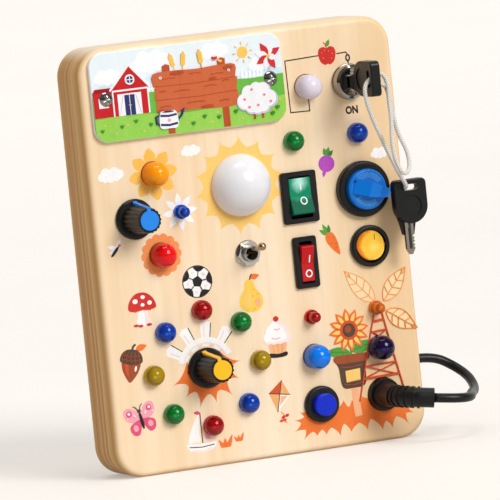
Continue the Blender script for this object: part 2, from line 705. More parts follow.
# %% [markdown]
# ### The lanyard
#
# A thin white cord, braided from many threads. It is pushed through the slot of the key in the
# lock, hangs down in a loop, and its other leg runs to the spare key, where a knot holds it.
# The weave is far too fine to model thread by thread, so it is drawn on the tube's UV map: two
# sets of slanting waves cross, and where a thread passes over another it stands up a little.

# %% The lanyard
LANYARD_D = 2.5
SLOT_Y = -53.2
LANYARD_ROUTE = [
    (69.9, SLOT_Y, 211.9),
    (74.0, -53.0, 212.1),
    (78.0, -51.8, 210.0),
    (80.2, -50.4, 203.5),
    (81.8, -49.2, 193.6),
    (84.2, -48.1, 181.8),
    (88.8, -49.2, 170.7),
    (88.6, -51.5, 160.7),
    (82.8, -55.3, 157.0),
    (77.6, -57.1, 164.1),
    (76.0, -56.6, 176.2),
    (77.8, -55.6, 190.1),
    (78.4, SLOT_Y, 203.0),
    (78.6, SLOT_Y, 213.0),
    (74.6, SLOT_Y, 219.0),
    (64.4, SLOT_Y, 213.4),
    (63.5, SLOT_Y, 206.5),
    (65.9, -52.0, 197.0),
    (71.7, -48.9, 183.8),
    (79.0, -45.3, 169.2),
    (85.6, -41.8, 157.0),
    (90.4, -39.2, 150.6),
    (92.3, -34.4, 147.6),
    (92.7, -28.4, 147.8),
]
THREADS_ROUND, THREAD_TURN_MM = 4, 1.5
FIBRE_SHARE = 0.3


def braided_cord():
    """Slanting waves both ways round the cord: turns of thread a millimetre and a half apart."""
    finish, tree, shader = new_finish("braided_white_cord", Roughness=0.75, Sheen_Weight=0.25)
    axes = axes_of(tree, add_node(tree, "ShaderNodeUVMap", uv_map="along").outputs["UV"])
    around = maths(tree, "MULTIPLY", axes["X"], 2 * pi * THREADS_ROUND)
    along = maths(tree, "MULTIPLY", axes["Y"], 2 * pi / THREAD_TURN_MM)
    one = maths(tree, "SINE", maths(tree, "ADD", along, around))
    two = maths(tree, "SINE", maths(tree, "SUBTRACT", along, around))
    height = maths(tree, "MAXIMUM", one, two)
    fibres = maths(tree, "MULTIPLY", noise(tree, 2500.0, 2.0), FIBRE_SHARE)
    stops = [(0.05, "#b9b2a8"), (0.55, "#dbd6ce"), (1.0, "#efebe5")]
    fill(tree, shader, {"Base Color": ramp(tree, maths(tree, "ADD", height, fibres), stops)})
    bump(tree, shader, height, 0.00014, 0.7)
    return finish


lanyard_line = route_points(LANYARD_ROUTE)
braid = braided_cord()
lanyard = skin_tube("lanyard_cord", lanyard_line, LANYARD_D * MM, braid)
print("lanyard length", round(line_length(lanyard_line) / MM, 1), "mm")

# %% [markdown]
# The knot behind the spare key's slot is a real overhand knot in the same cord, so small that
# only its lump shows. A closed line that winds twice round while it rises and sinks three
# times gives such a lump, and it has the same braid.

# %% The stopper knot
KNOT_BEHIND, KNOT_RADIUS, KNOT_DEPTH, KNOT_CORD = 1.7, 1.25, 0.45, 2.1
KNOT_STEPS, KNOT_SIDES, KNOT_WOBBLE = 48, 12, 0.18


def stopper_knot():
    centre = Vector(LANYARD_ROUTE[-1]) + Vector((0, KNOT_BEHIND, 0))
    line = []
    for step in range(KNOT_STEPS + 1):
        turn = 2 * pi * step / KNOT_STEPS
        reach = KNOT_RADIUS * (1.0 + KNOT_WOBBLE * cos(3 * turn))
        lump = Vector((reach * cos(2 * turn), KNOT_DEPTH * sin(3 * turn), reach * sin(2 * turn)))
        line.append((centre + lump) * MM)
    return skin_tube("lanyard_knot", line, KNOT_CORD * MM, braid, KNOT_SIDES)


knot = stopper_knot()
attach(knot, "lanyard")
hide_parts("lanyard_hitch", "lanyard_strands")
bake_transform(lanyard)
print("cords declared")

# %% [markdown]
# ## Printed pictures
#
# The board's face is printed with small pictures. They could be one image texture, but this
# lesson draws them as real thin films of ink, a few hundredths of a millimetre thick. Every
# shape is an outline of a few hand-placed points, in millimetres round the picture's own
# middle. A film has a front, a back and a wall, so it is a closed solid, and each layer of ink
# is a little thicker than the one under it.

# %% Inks
def ink(name, colour, shade, roughness=0.5):
    """Matt ink: two close tones in fine speckles, over the faint upright grain of the wood."""
    finish, tree, shader = new_finish(name, Specular_IOR_Level=0.25)
    speckle = noise(tree, 900.0, 3.0, 0.6)
    streaks = noise(tree, 160.0, 3.0, 0.6, (1.0, 1.0, 0.05))
    mixed = maths(tree, "MULTIPLY", maths(tree, "ADD", speckle, streaks), 0.5)
    tone = ramp(tree, mixed, [(0.35, shade), (0.62, colour)])
    matt = remap(tree, speckle, roughness * 0.85, roughness * 1.2)
    fill(tree, shader, {"Base Color": tone, "Roughness": matt})
    bump(tree, shader, streaks, 0.00003, 0.4)
    return finish


INKS = {
    "sun": ink("sun_yellow_ink", "#fccf74", "#f9c565"),
    "petal": ink("petal_yellow_ink", "#fcc458", "#f8b94a"),
    "orange": ink("orange_ink", "#f07a32", "#e97029"),
    "coral": ink("coral_ink", "#f59a58", "#f08f4c"),
    "rust": ink("rust_ink", "#d9552b", "#cb4a22"),
    "peach": ink("peach_ink", "#f7b98c", "#f1ab7b"),
    "tan": ink("tan_ink", "#efb070", "#e6a25f"),
    "white": ink("white_ink", "#fbf8f5", "#f3efeb"),
    "blush": ink("blush_ink", "#f8e6e4", "#f1dad8"),
    "pink": ink("pink_ink", "#f6a9ba", "#ef9aad"),
    "rose": ink("rose_ink", "#e4587a", "#d94a6d"),
    "red": ink("red_ink", "#d8332c", "#c82822"),
    "brown": ink("brown_ink", "#5d4436", "#513a2e"),
    "burnt": ink("burnt_hole_edge", "#8d6238", "#7d5530"),
    "chestnut": ink("chestnut_ink", "#a5502c", "#964524"),
    "black": ink("black_ink", "#262322", "#1d1b1a"),
    "leaf": ink("leaf_green_ink", "#58a33f", "#4b9335"),
    "dark_leaf": ink("dark_green_ink", "#3f8a3c", "#357a33"),
    "beet": ink("purple_ink", "#bb50c4", "#ad45b7"),
    "yellow": ink("yellow_ink", "#fbd05a", "#f5c548"),
    "line": ink("orange_line_ink", "#f2a457", "#ea9847"),
    "peachy": ink("pale_peach_ink", "#fbdcae", "#f8d5a3"),
}
print("inks", len(INKS))

# %% Outlines
LEAF_BELLY = 0.8
SHARPEST_MITRE = 0.4


def turned(points, degrees, x=0.0, z=0.0):
    """Points turned anticlockwise round their own middle, then moved to x, z."""
    c, s = cos(radians(degrees)), sin(radians(degrees))
    return [(x + a * c - b * s, z + a * s + b * c) for a, b in points]


def scaled(points, size, x=0.0, z=0.0):
    return [(x + a * size, z + b * size) for a, b in points]


def polar(reach, degrees, x=0.0, z=0.0):
    """The point that lies reach away from x, z in the direction of degrees."""
    return x + reach * cos(radians(degrees)), z + reach * sin(radians(degrees))


def oval(x, z, width, height=None, turn=0.0, count=36):
    """An ellipse by its middle and its full width and height, turned anticlockwise by degrees."""
    height = width if height is None else height
    turns = [2 * pi * k / count for k in range(count)]
    return turned([(width / 2 * cos(t), height / 2 * sin(t)) for t in turns], turn, x, z)


def between(before, here, after, beyond, t):
    """A share t of the way from here to after, on a Catmull-Rom spline through all four numbers."""
    bend = 2 * before - 5 * here + 4 * after - beyond
    twist = 3 * here - before - 3 * after + beyond
    return 0.5 * (2 * here + (after - before) * t + bend * t * t + twist * t ** 3)


def smooth(points, steps=6):
    """A closed outline that runs evenly through the points given."""
    line = []
    for i, here in enumerate(points):
        spots = (points[i - 1], here, points[(i + 1) % len(points)], points[(i + 2) % len(points)])
        for t in (step / steps for step in range(steps)):
            line.append(tuple(between(*numbers, t) for numbers in zip(*spots)))
    return line


def leaf_reach(width, share):
    """How far a leaf's edge is from its midrib, at a share of its length: most in its first half."""
    return width / 2 * sin(pi * share ** LEAF_BELLY)


def leaf(x, z, length, width, turn, count=10):
    """A pointed leaf that grows from x, z in the direction of turn degrees."""
    upper = [(length * k / count, leaf_reach(width, k / count)) for k in range(count + 1)]
    lower = [(a, -b) for a, b in reversed(upper[1:-1])]
    return turned(upper + lower, turn, x, z)


def stroke(points, width):
    """A line of even width through the points, with mitred corners."""
    spots = [Vector(point) for point in points]
    ways = [(b - a).normalized() for a, b in zip(spots, spots[1:])]
    left, right = [], []
    for spot, one, two in zip(spots, ways[:1] + ways, ways + ways[-1:]):
        normal = (one + two).orthogonal().normalized()
        reach = width / 2 / max(SHARPEST_MITRE, normal.dot(one.orthogonal()))
        left.append(tuple(spot + normal * reach))
        right.append(tuple(spot - normal * reach))
    return left + right[::-1]


print("an oval has", len(oval(0, 0, 10)), "points, a smooth outline", len(smooth([(0, 0), (1, 0), (1, 1)])))

# %% Layers of one ink
def strokes(ink_name, width, *routes):
    return [(ink_name, stroke(route, width)) for route in routes]


def leaves(ink_name, *sizes):
    return [(ink_name, leaf(*size)) for size in sizes]


def ovals(ink_name, *sizes, **how):
    return [(ink_name, oval(*size, **how)) for size in sizes]


def placed(layers, x=0.0, z=0.0, size=1.0, turn=0.0):
    """Layers drawn to another size, turned, and moved to x, z."""
    return [(colour, turned(scaled(line, size), turn, x, z)) for colour, line in layers]


print("three dots make", len(ovals("black", (0, 0, 1), (2, 0, 1), (4, 0, 1))), "layers")

# %% Films of ink
INK_T = 0.03 * MM
INK_SINK = 0.3


def film(shape, outline, slot, level, base, x=0.0, z=0.0, holes=()):
    """Adds one closed film of ink to a bmesh: its front stands level layers of ink proud of the base."""
    loops = [[Vector((x + a, z + b, 0.0)) for a, b in points] for points in (outline, *holes)]
    flat = [point for loop in loops for point in loop]
    front_y, back_y = base - INK_T * (1 + level), base + INK_T * INK_SINK
    front = [shape.verts.new((p.x * MM, front_y, p.y * MM)) for p in flat]
    back = [shape.verts.new((p.x * MM, back_y, p.y * MM)) for p in flat]
    made = []
    for a, b, c in tessellate_polygon(loops):
        made.append(shape.faces.new((front[a], front[b], front[c])))
        made.append(shape.faces.new((back[c], back[b], back[a])))
    start = 0
    for loop in loops:
        for k in range(len(loop)):
            i, j = start + k, start + (k + 1) % len(loop)
            made.append(shape.faces.new((front[i], front[j], back[j], back[i])))
        start += len(loop)
    for face in made:
        face.material_index = slot
    bmesh.ops.recalc_face_normals(shape, faces=made)


def print_picture(name, middle, layers, lift=0, base=FRONT):
    """One picture: layers of (ink, outline) or (ink, outline, holes), the lowest first."""
    shape = bmesh.new()
    colours = list(dict.fromkeys(layer[0] for layer in layers))
    for level, (colour, outline, *holes) in enumerate(layers, lift):
        film(shape, outline, colours.index(colour), level, base, *middle, *holes)
    piece = finish_mesh(name, shape, *[INKS[colour] for colour in colours])
    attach(piece, "board")
    return piece


print("films ready, one layer of ink is", INK_T / MM, "mm")

# %% [markdown]
# ### Rays, petals and pickets
#
# The sun, the flowers, the fence and the burst of straw all repeat one shape round a point.
# Copying it in Python would work, but this is what Geometry Nodes are for. The tree makes as
# many points as we ask for, places them round a circle, puts the shape on each, and turns it to
# point outwards. It ends in Realize Instances and Set Material, so the result is a real mesh.
# A spread with a fixed seed makes straw uneven and leaves petals even.

# %% A tree that repeats a shape round a circle
TREE_INPUTS = {
    "Shape": "Object", "Count": "Int", "Radius": "Float", "Start": "Float", "Step": "Float",
    "Centre": "Vector", "Spread": "Float", "Seed": "Int", "Finish": "Material",
}


def repeat_tree():
    tree = bpy.data.node_groups.new("repeat_round_a_circle", "GeometryNodeTree")
    for name, kind in TREE_INPUTS.items():
        tree.interface.new_socket(name, in_out="INPUT", socket_type="NodeSocket" + kind)
    tree.interface.new_socket("Geometry", in_out="OUTPUT", socket_type="NodeSocketGeometry")
    given = add_node(tree, "NodeGroupInput").outputs
    index = add_node(tree, "GeometryNodeInputIndex").outputs[0]
    angle = maths(tree, "ADD", maths(tree, "MULTIPLY", index, given["Step"]), given["Start"])
    x = maths(tree, "MULTIPLY", maths(tree, "COSINE", angle), given["Radius"])
    z = maths(tree, "MULTIPLY", maths(tree, "SINE", angle), given["Radius"])
    spot = add_node(tree, "ShaderNodeCombineXYZ", {"X": x, "Z": z}).outputs[0]
    place = vector_maths(tree, "ADD", spot, given["Centre"])
    points = add_node(tree, "GeometryNodePoints", {"Count": given["Count"], "Position": place}).outputs[0]
    turn = add_node(tree, "ShaderNodeCombineXYZ", {"Y": maths(tree, "MULTIPLY", angle, -1.0)}).outputs[0]
    smallest = maths(tree, "SUBTRACT", 1.0, given["Spread"])
    inputs = {2: smallest, "Seed": given["Seed"]}
    size = add_node(tree, "FunctionNodeRandomValue", inputs, data_type="FLOAT")
    length = add_node(tree, "ShaderNodeCombineXYZ", {"X": size.outputs[1], "Y": 1.0, "Z": 1.0}).outputs[0]
    shape = add_node(tree, "GeometryNodeObjectInfo", {"Object": given["Shape"]}).outputs["Geometry"]
    inputs = {"Points": points, "Instance": shape, "Rotation": turn, "Scale": length}
    put = add_node(tree, "GeometryNodeInstanceOnPoints", inputs).outputs[0]
    real = add_node(tree, "GeometryNodeRealizeInstances", {"Geometry": put}).outputs[0]
    inputs = {"Geometry": real, "Material": given["Finish"]}
    painted = add_node(tree, "GeometryNodeSetMaterial", inputs).outputs[0]
    add_node(tree, "NodeGroupOutput", {"Geometry": painted})
    return tree


REPEAT = repeat_tree()
print("tree with", len(REPEAT.nodes), "nodes")

# %% Rings made by the tree
def repeat_round(
    name, outline, level, finish, centre, body, count, radius=0.0, start=0.0, step=None, spread=0.0, seed=1,
):
    """One film repeated round a centre (in metres): angles in degrees, radius in millimetres."""
    shape = bmesh.new()
    film(shape, outline, 0, level, 0.0)
    one = finish_mesh("one_shape", shape)
    carrier = add_to_scene(name, bpy.data.meshes.new(name))
    modifier = carrier.modifiers.new("repeat", "NODES")
    modifier.node_group = REPEAT
    values = {
        "Shape": one, "Count": count, "Radius": radius * MM, "Start": radians(start),
        "Step": radians(360 / count if step is None else step), "Centre": centre, "Spread": spread,
        "Seed": seed, "Finish": finish,
    }
    for socket in REPEAT.interface.items_tree:
        if socket.in_out == "INPUT":
            modifier[socket.identifier] = values[socket.name]
    mesh = plain_mesh(carrier)
    carrier.modifiers.remove(modifier)
    carrier.data = mesh
    bpy.data.objects.remove(one)
    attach(carrier, body)


def ring_of(name, outline, ink_name, count, x, z, level=0, **how):
    """A printed ring of one shape round x, z (in millimetres)."""
    centre = (x * MM, FRONT, z * MM)
    repeat_round(name, outline, level, INKS[ink_name], centre, "board", count, **how)


print("ring helpers ready")

# %% [markdown]
# The sun round the big dome has fourteen pointed rays with hollow sides. A disc of the same ink
# lies under them and the dome. Four of the ball lenses sit in drilled holes with a darkened
# edge: a brown disc a little larger than the ball, moved a little to the upper left, shows as a
# thin line.

# %% Sun, flowers and hole edges
SUN = (-5.6, 161.0)
ORANGE_LAMP, BLUE_LAMP, RED_LAMP = (-59.0, 173.9), (-44.6, 150.3), (-58.9, 126.7)
EDGE_LEFT, EDGE_UP, EDGE_EXTRA = 0.35, 0.3, 0.3
RAY_STEPS = 8


def ray(inner, outer, half_width):
    """A ray with hollow sides that points along X, standing on a circle."""
    steps = [k / RAY_STEPS for k in range(RAY_STEPS)]
    upper = [(inner + (outer - inner) * t, half_width * (1 - t) ** 2) for t in steps]
    return upper + [(outer, 0.0)] + [(a, -b) for a, b in reversed(upper)]


print_picture("sun_disc", SUN, ovals("sun", (0, 0, 45.0), count=72))
ring_of("sun_rays", ray(22.0, 29.2, 5.2), "sun", 14, *SUN, level=1, start=8)

PETAL_SIDE = [(7.4, 2.6), (10.8, 3.7), (13.6, 2.1)]
ROUND_PETAL = smooth([(4.4, 0), *PETAL_SIDE, (15.3, 0), *[(a, -b) for a, b in reversed(PETAL_SIDE)]], 4)
ring_of("orange_lamp_petals", ROUND_PETAL, "petal", 8, *ORANGE_LAMP, start=6)
print_picture("orange_lamp_flower_heart", ORANGE_LAMP, ovals("petal", (0, 0, 18.4)), lift=1)
ring_of("blue_lamp_petals", leaf(0, 0, 9.0, 4.0, 0), "white", 8, *BLUE_LAMP, radius=2.2, start=4)
ring_of("red_lamp_scallops", oval(0, 0, 5.4, count=20), "coral", 14, *RED_LAMP, radius=10.0)
print_picture("red_lamp_flower_disc", RED_LAMP, ovals("coral", (0, 0, 21.6), count=48), lift=1)
for node in ("orange_ball_lens", "red_ball_lens", "lilac_ball_lens", "light_blue_ball_lens"):
    low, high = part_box(node)
    (x, z), width = middle_of(node), (high.x - low.x) / MM + EDGE_EXTRA
    edge = ovals("burnt", (0, 0, width), count=40)
    print_picture(node.replace("lens", "hole_edge"), (x - EDGE_LEFT, z + EDGE_UP), edge, lift=3)
print("rings and hole edges of the upper lamps done")

# %% The fence and the burst round the yellow knob
YELLOW_KNOB = middle_of("yellow_knob")
ARCH_STEPS = 24


def arch(inner, outer, start, end):
    """A band round an arc, from start to end degrees."""
    angles = [start + (end - start) * k / ARCH_STEPS for k in range(ARCH_STEPS + 1)]
    return [polar(outer, a) for a in angles] + [polar(inner, a) for a in reversed(angles)]


PICKET = [(12.5, -2.1), (26.2, -3.2), (27.6, 0.4), (26.0, 3.4), (12.5, 2.3)]
PICKET_EDGE = [(17.5, -2.9), (26.0, -3.7), (26.1, -3.1), (17.5, -2.4)]
PICKET_GRAIN = [(16.0, 0.6), (24.0, 0.9), (24.0, 1.15), (16.0, 0.85)]
FENCE_TURNS = {"start": 150, "step": -32}
BURST_TURNS = {"start": 199, "step": 27.5, "spread": 0.12, "seed": 4}
ring_of("fence_pickets", PICKET, "white", 4, *YELLOW_KNOB, **FENCE_TURNS)
ring_of("fence_picket_edges", PICKET_EDGE, "black", 4, *YELLOW_KNOB, level=1, **FENCE_TURNS)
ring_of("fence_picket_grain", PICKET_GRAIN, "pink", 4, *YELLOW_KNOB, level=2, **FENCE_TURNS)
rail = [("white", arch(14.2, 18.0, 24, 164)), ("blush", arch(14.2, 15.0, 24, 164))]
print_picture("fence_rail", YELLOW_KNOB, rail, lift=3)
ring_of("burst_under_knob", ray(10.0, 24.6, 8.8), "orange", 7, *YELLOW_KNOB, **BURST_TURNS)
print_picture("burst_disc", YELLOW_KNOB, [("orange", arch(0.5, 15.6, 190, 356))], lift=1)
print("fence and burst done round", [round(v, 1) for v in YELLOW_KNOB])

# %% [markdown]
# ### Straw and grass
#
# The long tuft at the lower right is a heap of straw. Its edge goes in and out, from a hollow
# to a tip and back, so it is written as one list of points, hollow and tip in turn. Between two
# points the edge bows to the same side each time, which gives every blade its hook.

# %% Straw
HOOK_STEPS = 5


def hooked(points, bow=0.17):
    """A closed outline through the points, each side of it a shallow arc that bows to the left."""
    line = []
    for (x, z), (a, b) in zip(points, points[1:] + points[:1]):
        mx, mz = (x + a) / 2 - (b - z) * bow, (z + b) / 2 + (a - x) * bow
        for t in (step / HOOK_STEPS for step in range(HOOK_STEPS)):
            first, second, third = (1 - t) ** 2, 2 * t * (1 - t), t * t
            line.append((first * x + second * mx + third * a, first * z + second * mz + third * b))
    return line


STRAW = [
    (-33, 6.5), (-36.5, 7.0), (-33.5, 3.6), (-41.5, 2.8), (-35.8, 0.4), (-40.6, -4.4), (-33.2, -4.0),
    (-35.6, -10.8), (-28.8, -5.6), (-26.2, -8.4), (-22.8, -5.2), (-20.4, -8.6), (-16.8, -4.8),
    (-11.4, -10.4), (-8.6, -3.6), (-4.4, -9.0), (1.2, -4.4), (6.4, -9.4), (8.8, -3.0), (16.0, -10.6),
    (18.4, -5.6), (22.4, -10.2), (25.2, -3.8), (33.2, -9.8), (31.8, -2.8), (37.4, -3.6), (33.0, 1.2),
    (38.0, 4.0), (32.0, 6.0), (20.0, 8.0), (8.6, 9.2), (4.6, 10.8), (2.0, 6.6), (-2.2, 9.6),
    (-4.6, 5.6), (-7.4, 10.2), (-10.6, 6.8), (-13.6, 10.6), (-20.0, 8.0),
]
TUFT = [(-3.2, -2.6), (-4.6, 2.4), (-1.8, -0.2), (-0.4, 2.8), (0.8, -0.2), (4.6, 4.6), (2.9, -2.6)]
TUFT_BOW = 0.08
print_picture("straw_heap", (54.0, 17.4), [("orange", hooked(STRAW))])
print_picture("grass_tuft_left", (-30.4, 13.0), [("orange", hooked(TUFT, TUFT_BOW))])
print_picture("grass_tuft_right", (-21.9, 14.6), [("orange", hooked(scaled(TUFT, 0.7), TUFT_BOW))])
print("straw has", len(STRAW) // 2, "tips")

# %% [markdown]
# ### Clouds, fruit and small pictures
#
# A cloud, a bush and a heap of icing are all lumps, the outline round a few circles. The helper
# looks out from the middle in every direction and keeps the furthest circle it meets.

# %% Lumpy outlines and clouds
LUMP_POINTS = 96


def lumps(*circles):
    """The outline round circles of (x, z, width), seen from a middle that one of them covers."""
    line = []
    for k in range(LUMP_POINTS):
        ux, uz = polar(1.0, 360 * k / LUMP_POINTS)
        reach = 0.0
        for x, z, width in circles:
            along, across = x * ux + z * uz, x * uz - z * ux
            if abs(across) < width / 2:
                reach = max(reach, along + (width * width / 4 - across * across) ** 0.5)
        line.append((reach * ux, reach * uz))
    return line


CLOUD = lumps(
    (0, 0, 6.4), (-2.6, 1.4, 5.2), (2.2, 1.9, 4.6), (-5.0, -0.6, 4.2), (4.9, 0.2, 5.0), (0, -1.6, 4.4),
    (-3.0, -1.8, 3.4), (3.2, -1.6, 3.4),
)
CLOUDS = {
    "cloud_left": (-85.4, 176.4, 1.12),
    "cloud_middle": (-34.2, 184.6, 0.86),
    "cloud_right": (85.2, 169.0, 0.84),
}
for name, (x, z, size) in CLOUDS.items():
    print_picture(name, (x, z), [("white", scaled(CLOUD, size))])
print("clouds", len(CLOUD), "points each")

# %% Apple, beet and carrot
def mirrored(points):
    return [(-x, z) for x, z in points]


def both_sides(half):
    """A closed outline from its right half, which starts and ends on the middle line."""
    return half + mirrored(reversed(half[1:-1]))


APPLE_HALF = [(0, 4.4), (2.2, 5.3), (4.8, 4.2), (5.6, 1.0), (4.4, -3.2), (1.8, -5.3), (0, -4.8)]
SPECKS = [(-3.2, 2.0), (-1.2, 3.2), (1.4, 2.6), (3.3, 1.0), (2.6, -1.8), (-2.6, -1.2)]
print_picture("apple", (57.8, 229.6), [
    *strokes("rust", 0.7, [(0.2, 4.0), (-0.6, 6.6), (-1.8, 8.0)]),
    *leaves("leaf", (0.2, 5.2, 4.6, 2.5, 66)),
    ("red", smooth(both_sides(APPLE_HALF))),
    *ovals("peach", *[(x, z, 0.5) for x, z in SPECKS], count=8),
])
print_picture("beet", (50.6, 166.8), [
    *leaves("leaf", (0.4, 4.2, 5.4, 2.9, 104), (0.6, 4.0, 6.0, 3.0, 72)),
    *leaves("dark_leaf", (1.0, 3.8, 5.4, 2.6, 42)),
    *leaves("beet", (-1.4, -3.4, 4.6, 2.2, 252)),
    *ovals("beet", (0, 0, 10.2, 9.8)),
    *strokes("rose", 0.35, [(-2.4, -1.8), (-0.4, -2.5), (1.7, -2.1)], [(2.2, 2.2), (3.2, 0.9)]),
])
CARROT = smooth([
    (-2.9, 2.0), (-1.6, 3.9), (1.2, 4.2), (3.4, 1.4), (4.9, -3.2), (5.6, -8.4), (4.7, -9.3), (0.6, -5.6),
    (-2.4, -1.2),
])
CARROT_RINGS = [
    [(-1.6, 1.2), (0.0, 1.6)], [(2.9, 1.0), (1.6, 0.5)], [(0.0, -2.4), (1.5, -2.0)],
    [(4.2, -2.4), (3.0, -2.9)], [(2.6, -5.4), (4.0, -5.0)],
]
print_picture("carrot", (48.2, 122.4), [
    *leaves("leaf", (-1.2, 2.8, 6.4, 2.7, 146), (-0.8, 3.2, 7.2, 2.6, 118)),
    *leaves("dark_leaf", (-0.2, 3.4, 5.6, 2.2, 92)),
    ("orange", CARROT),
    *strokes("rust", 0.4, *CARROT_RINGS),
])
print("apple, beet and carrot done")

# %% [markdown]
# Round the yellow knob each small lamp has a picture of its own to light up: a toadstool, a
# ball, a pear, a cupcake, a kite, a boat, a butterfly and an acorn. A ninth, a dragonfly, flies
# by itself. They are ours, drawn for this board in its colours.

# %% Dragonfly, toadstool and ball
print_picture("dragonfly", (-86.0, 133.6), [
    *leaves("white", (0, 0.6, 6.2, 2.5, 168), (0, 0.6, 6.2, 2.5, 62)),
    *leaves("blush", (-0.6, -0.4, 5.4, 2.3, 200), (-0.6, -0.4, 5.4, 2.3, 24)),
    *ovals("black", (-1.4, -1.4, 7.6, 1.8, 48)),
    *ovals("orange", (1.6, 1.9, 1.9, 1.7)),
])
CAP = smooth([
    (-8.6, -0.6), (-7.8, 4.0), (-3.6, 8.2), (2.2, 8.6), (7.0, 5.2), (8.8, -0.2), (5.2, -1.6), (0, -0.9),
    (-5.0, -2.0),
])
CAP_DOTS = [(-4.0, 4.0, 3.2, 2.8), (1.0, 6.0, 2.8, 2.2), (4.9, 2.4, 2.8, 2.6), (0.4, 1.6, 2.4, 2.0)]
STEM = smooth([(-2.8, 0), (3.0, 0), (3.2, -5.0), (4.7, -9.0), (0.4, -10.6), (-4.2, -9.2), (-3.0, -5.0)])
print_picture("toadstool", (-74.2, 98.0), [
    ("white", STEM),
    ("blush", smooth([(0.6, -0.8), (2.7, -0.8), (2.9, -5.0), (4.2, -8.8), (1.2, -9.8), (1.4, -5.0)])),
    ("red", CAP),
    *ovals("white", *CAP_DOTS),
    *strokes("rust", 0.8, [(-5.2, -2.0), (0, -1.1), (5.3, -1.7)]),
    *ovals("red", (-4.8, -10.0, 3.0, 1.5), (-1.9, -10.5, 3.0, 1.5), (3.4, -10.2, 3.4, 1.5)),
])
BALL_D, BALL_RIM, SEAM = 19.0, 0.6, 0.55
PATCH_REACH, PATCH_TURN, PATCHES = 3.5, 80, 5


def ball_layers():
    """A ball with a five-sided patch in its middle, five more cut by its rim, and seams between."""
    layers = ovals("black", (0, 0, BALL_D), count=48)
    layers += ovals("white", (0, 0, BALL_D - 2 * BALL_RIM), count=48)
    layers += ovals("black", (0, 0, 2 * PATCH_REACH, None, PATCH_TURN), count=PATCHES)
    for way in (PATCH_TURN + 360 / PATCHES * k for k in range(PATCHES)):
        layers += strokes("black", SEAM, [polar(3.4, way), polar(6.2, way)])
        rim = [polar(8.9, way + degrees(a)) for a in (-0.42, -0.2, 0, 0.2, 0.42)]
        inner = [polar(6.4, way + degrees(0.24)), polar(5.7, way), polar(6.4, way - degrees(0.24))]
        layers.append(("black", rim + inner))
        aside = way + 180 / PATCHES
        layers += ovals("blush", (*polar(6.0, aside), 2.2, 1.3, aside + 90))
    return layers


print_picture("ball", (-38.2, 108.6), ball_layers())
print("dragonfly, toadstool and ball done")

# %% Pear and cupcake
PEAR = smooth([
    (-1.0, 9.2), (2.2, 8.0), (3.4, 4.0), (6.8, -0.6), (7.4, -5.6), (3.6, -9.4), (-2.2, -9.6), (-7.0, -6.2),
    (-7.0, -1.0), (-4.0, 3.6), (-3.2, 7.6),
])
print_picture("pear", (-5.6, 96.4), [
    *strokes("brown", 1.0, [(0.2, 8.6), (1.0, 11.2), (2.2, 12.2)]),
    *leaves("orange", (0.8, 10.0, 6.0, 3.4, 12)),
    ("yellow", PEAR),
    ("sun", smooth([(-4.6, -1.4), (-2.0, 2.0), (0, 0.6), (0.6, -4.0), (-1.8, -7.6), (-4.8, -5.6)])),
    *ovals("peach", (4.2, -4.4, 4.0, 4.6)),
    *ovals("orange", (2.0, 3.2, 0.7), (1.4, -0.6, 0.7), (4.6, 0.2, 0.7), (1.8, -8.0, 0.7), count=8),
])
ICING = lumps(
    (0, 0, 9), (-5.6, -1.0, 6.6), (5.6, -1.0, 6.6), (-3.2, 3.0, 7.6), (3.4, 3.0, 7.4), (0, 6.2, 7.4),
    (-2.4, -2.2, 5), (2.4, -2.2, 5),
)
CASE_TOP, CASE_FOOT = -2.0, -10.6


def case_band(left, right, foot_left, foot_right):
    """A band of the paper case, from its wider top to its narrower foot."""
    return [(left, CASE_TOP), (right, CASE_TOP), (foot_right, CASE_FOOT), (foot_left, CASE_FOOT)]


print_picture("cupcake", (8.2, 70.4), [
    ("peach", case_band(-6.6, 6.6, -4.7, 4.7)),
    ("tan", case_band(-3.8, -2.4, -2.9, -1.9)),
    ("tan", case_band(-0.7, 0.7, -0.5, 0.5)),
    ("tan", case_band(2.4, 3.8, 1.9, 2.9)),
    ("black", smooth([(-5.4, -9.6), (0, -10.3), (5.4, -9.6), (5.2, -11.9), (0, -12.5), (-5.2, -11.9)])),
    ("blush", ICING),
    ("white", scaled(ICING, 0.82, -1.0, 0.6)),
    *strokes("pink", 0.6, [(-3.4, -0.6), (-1.0, -1.6), (1.8, -1.0)], [(-1.4, 4.4), (0.6, 3.6), (2.4, 4.4)]),
    *ovals("red", (0.4, 10.2, 3.4, 3.2)),
])
print("pear and cupcake done")

# %% Kite and boat
TOP, RIGHT, FOOT, LEFT = (0, 10.4), (6.6, 2.8), (0.4, -8.4), (-6.8, 1.8)
CROSSING = (0, 2.2)
KITE_TURN = -14
kite = [
    ("tan", [TOP, RIGHT, FOOT, LEFT]),
    ("rust", [TOP, CROSSING, LEFT]),
    ("white", [CROSSING, RIGHT, FOOT]),
    ("peach", [(0.9, 1.2), (5.2, 1.9), (1.2, -4.6)]),
    *strokes("brown", 0.5, [TOP, FOOT], [LEFT, RIGHT]),
]
print_picture("kite", (5.8, 34.4), [
    *strokes("orange", 0.6, [(0.4, -8.2), (2.8, -11.2), (1.0, -13.2), (3.6, -15.2)]),
    *placed(kite, turn=KITE_TURN),
    *leaves("red", (2.8, -11.2, 2.8, 1.8, 20), (2.8, -11.2, 2.8, 1.8, 196)),
    *leaves("rust", (1.2, -13.4, 2.4, 1.6, 8), (1.2, -13.4, 2.4, 1.6, 186)),
])
SAIL = [(-0.4, 11.4), (-1.2, 2.0), (-0.6, -4.2), (-4.6, -4.8), (-8.2, -4.2), (-5.0, 4.4)]
JIB = [(1.6, 8.6), (5.4, 2.6), (7.4, -4.2), (4.6, -4.6), (1.8, -4.2), (2.4, 2.0)]
JIB_HEART = [(2.2, 5.6), (4.6, 1.4), (5.8, -3.4), (2.6, -3.2), (2.8, 1.4)]
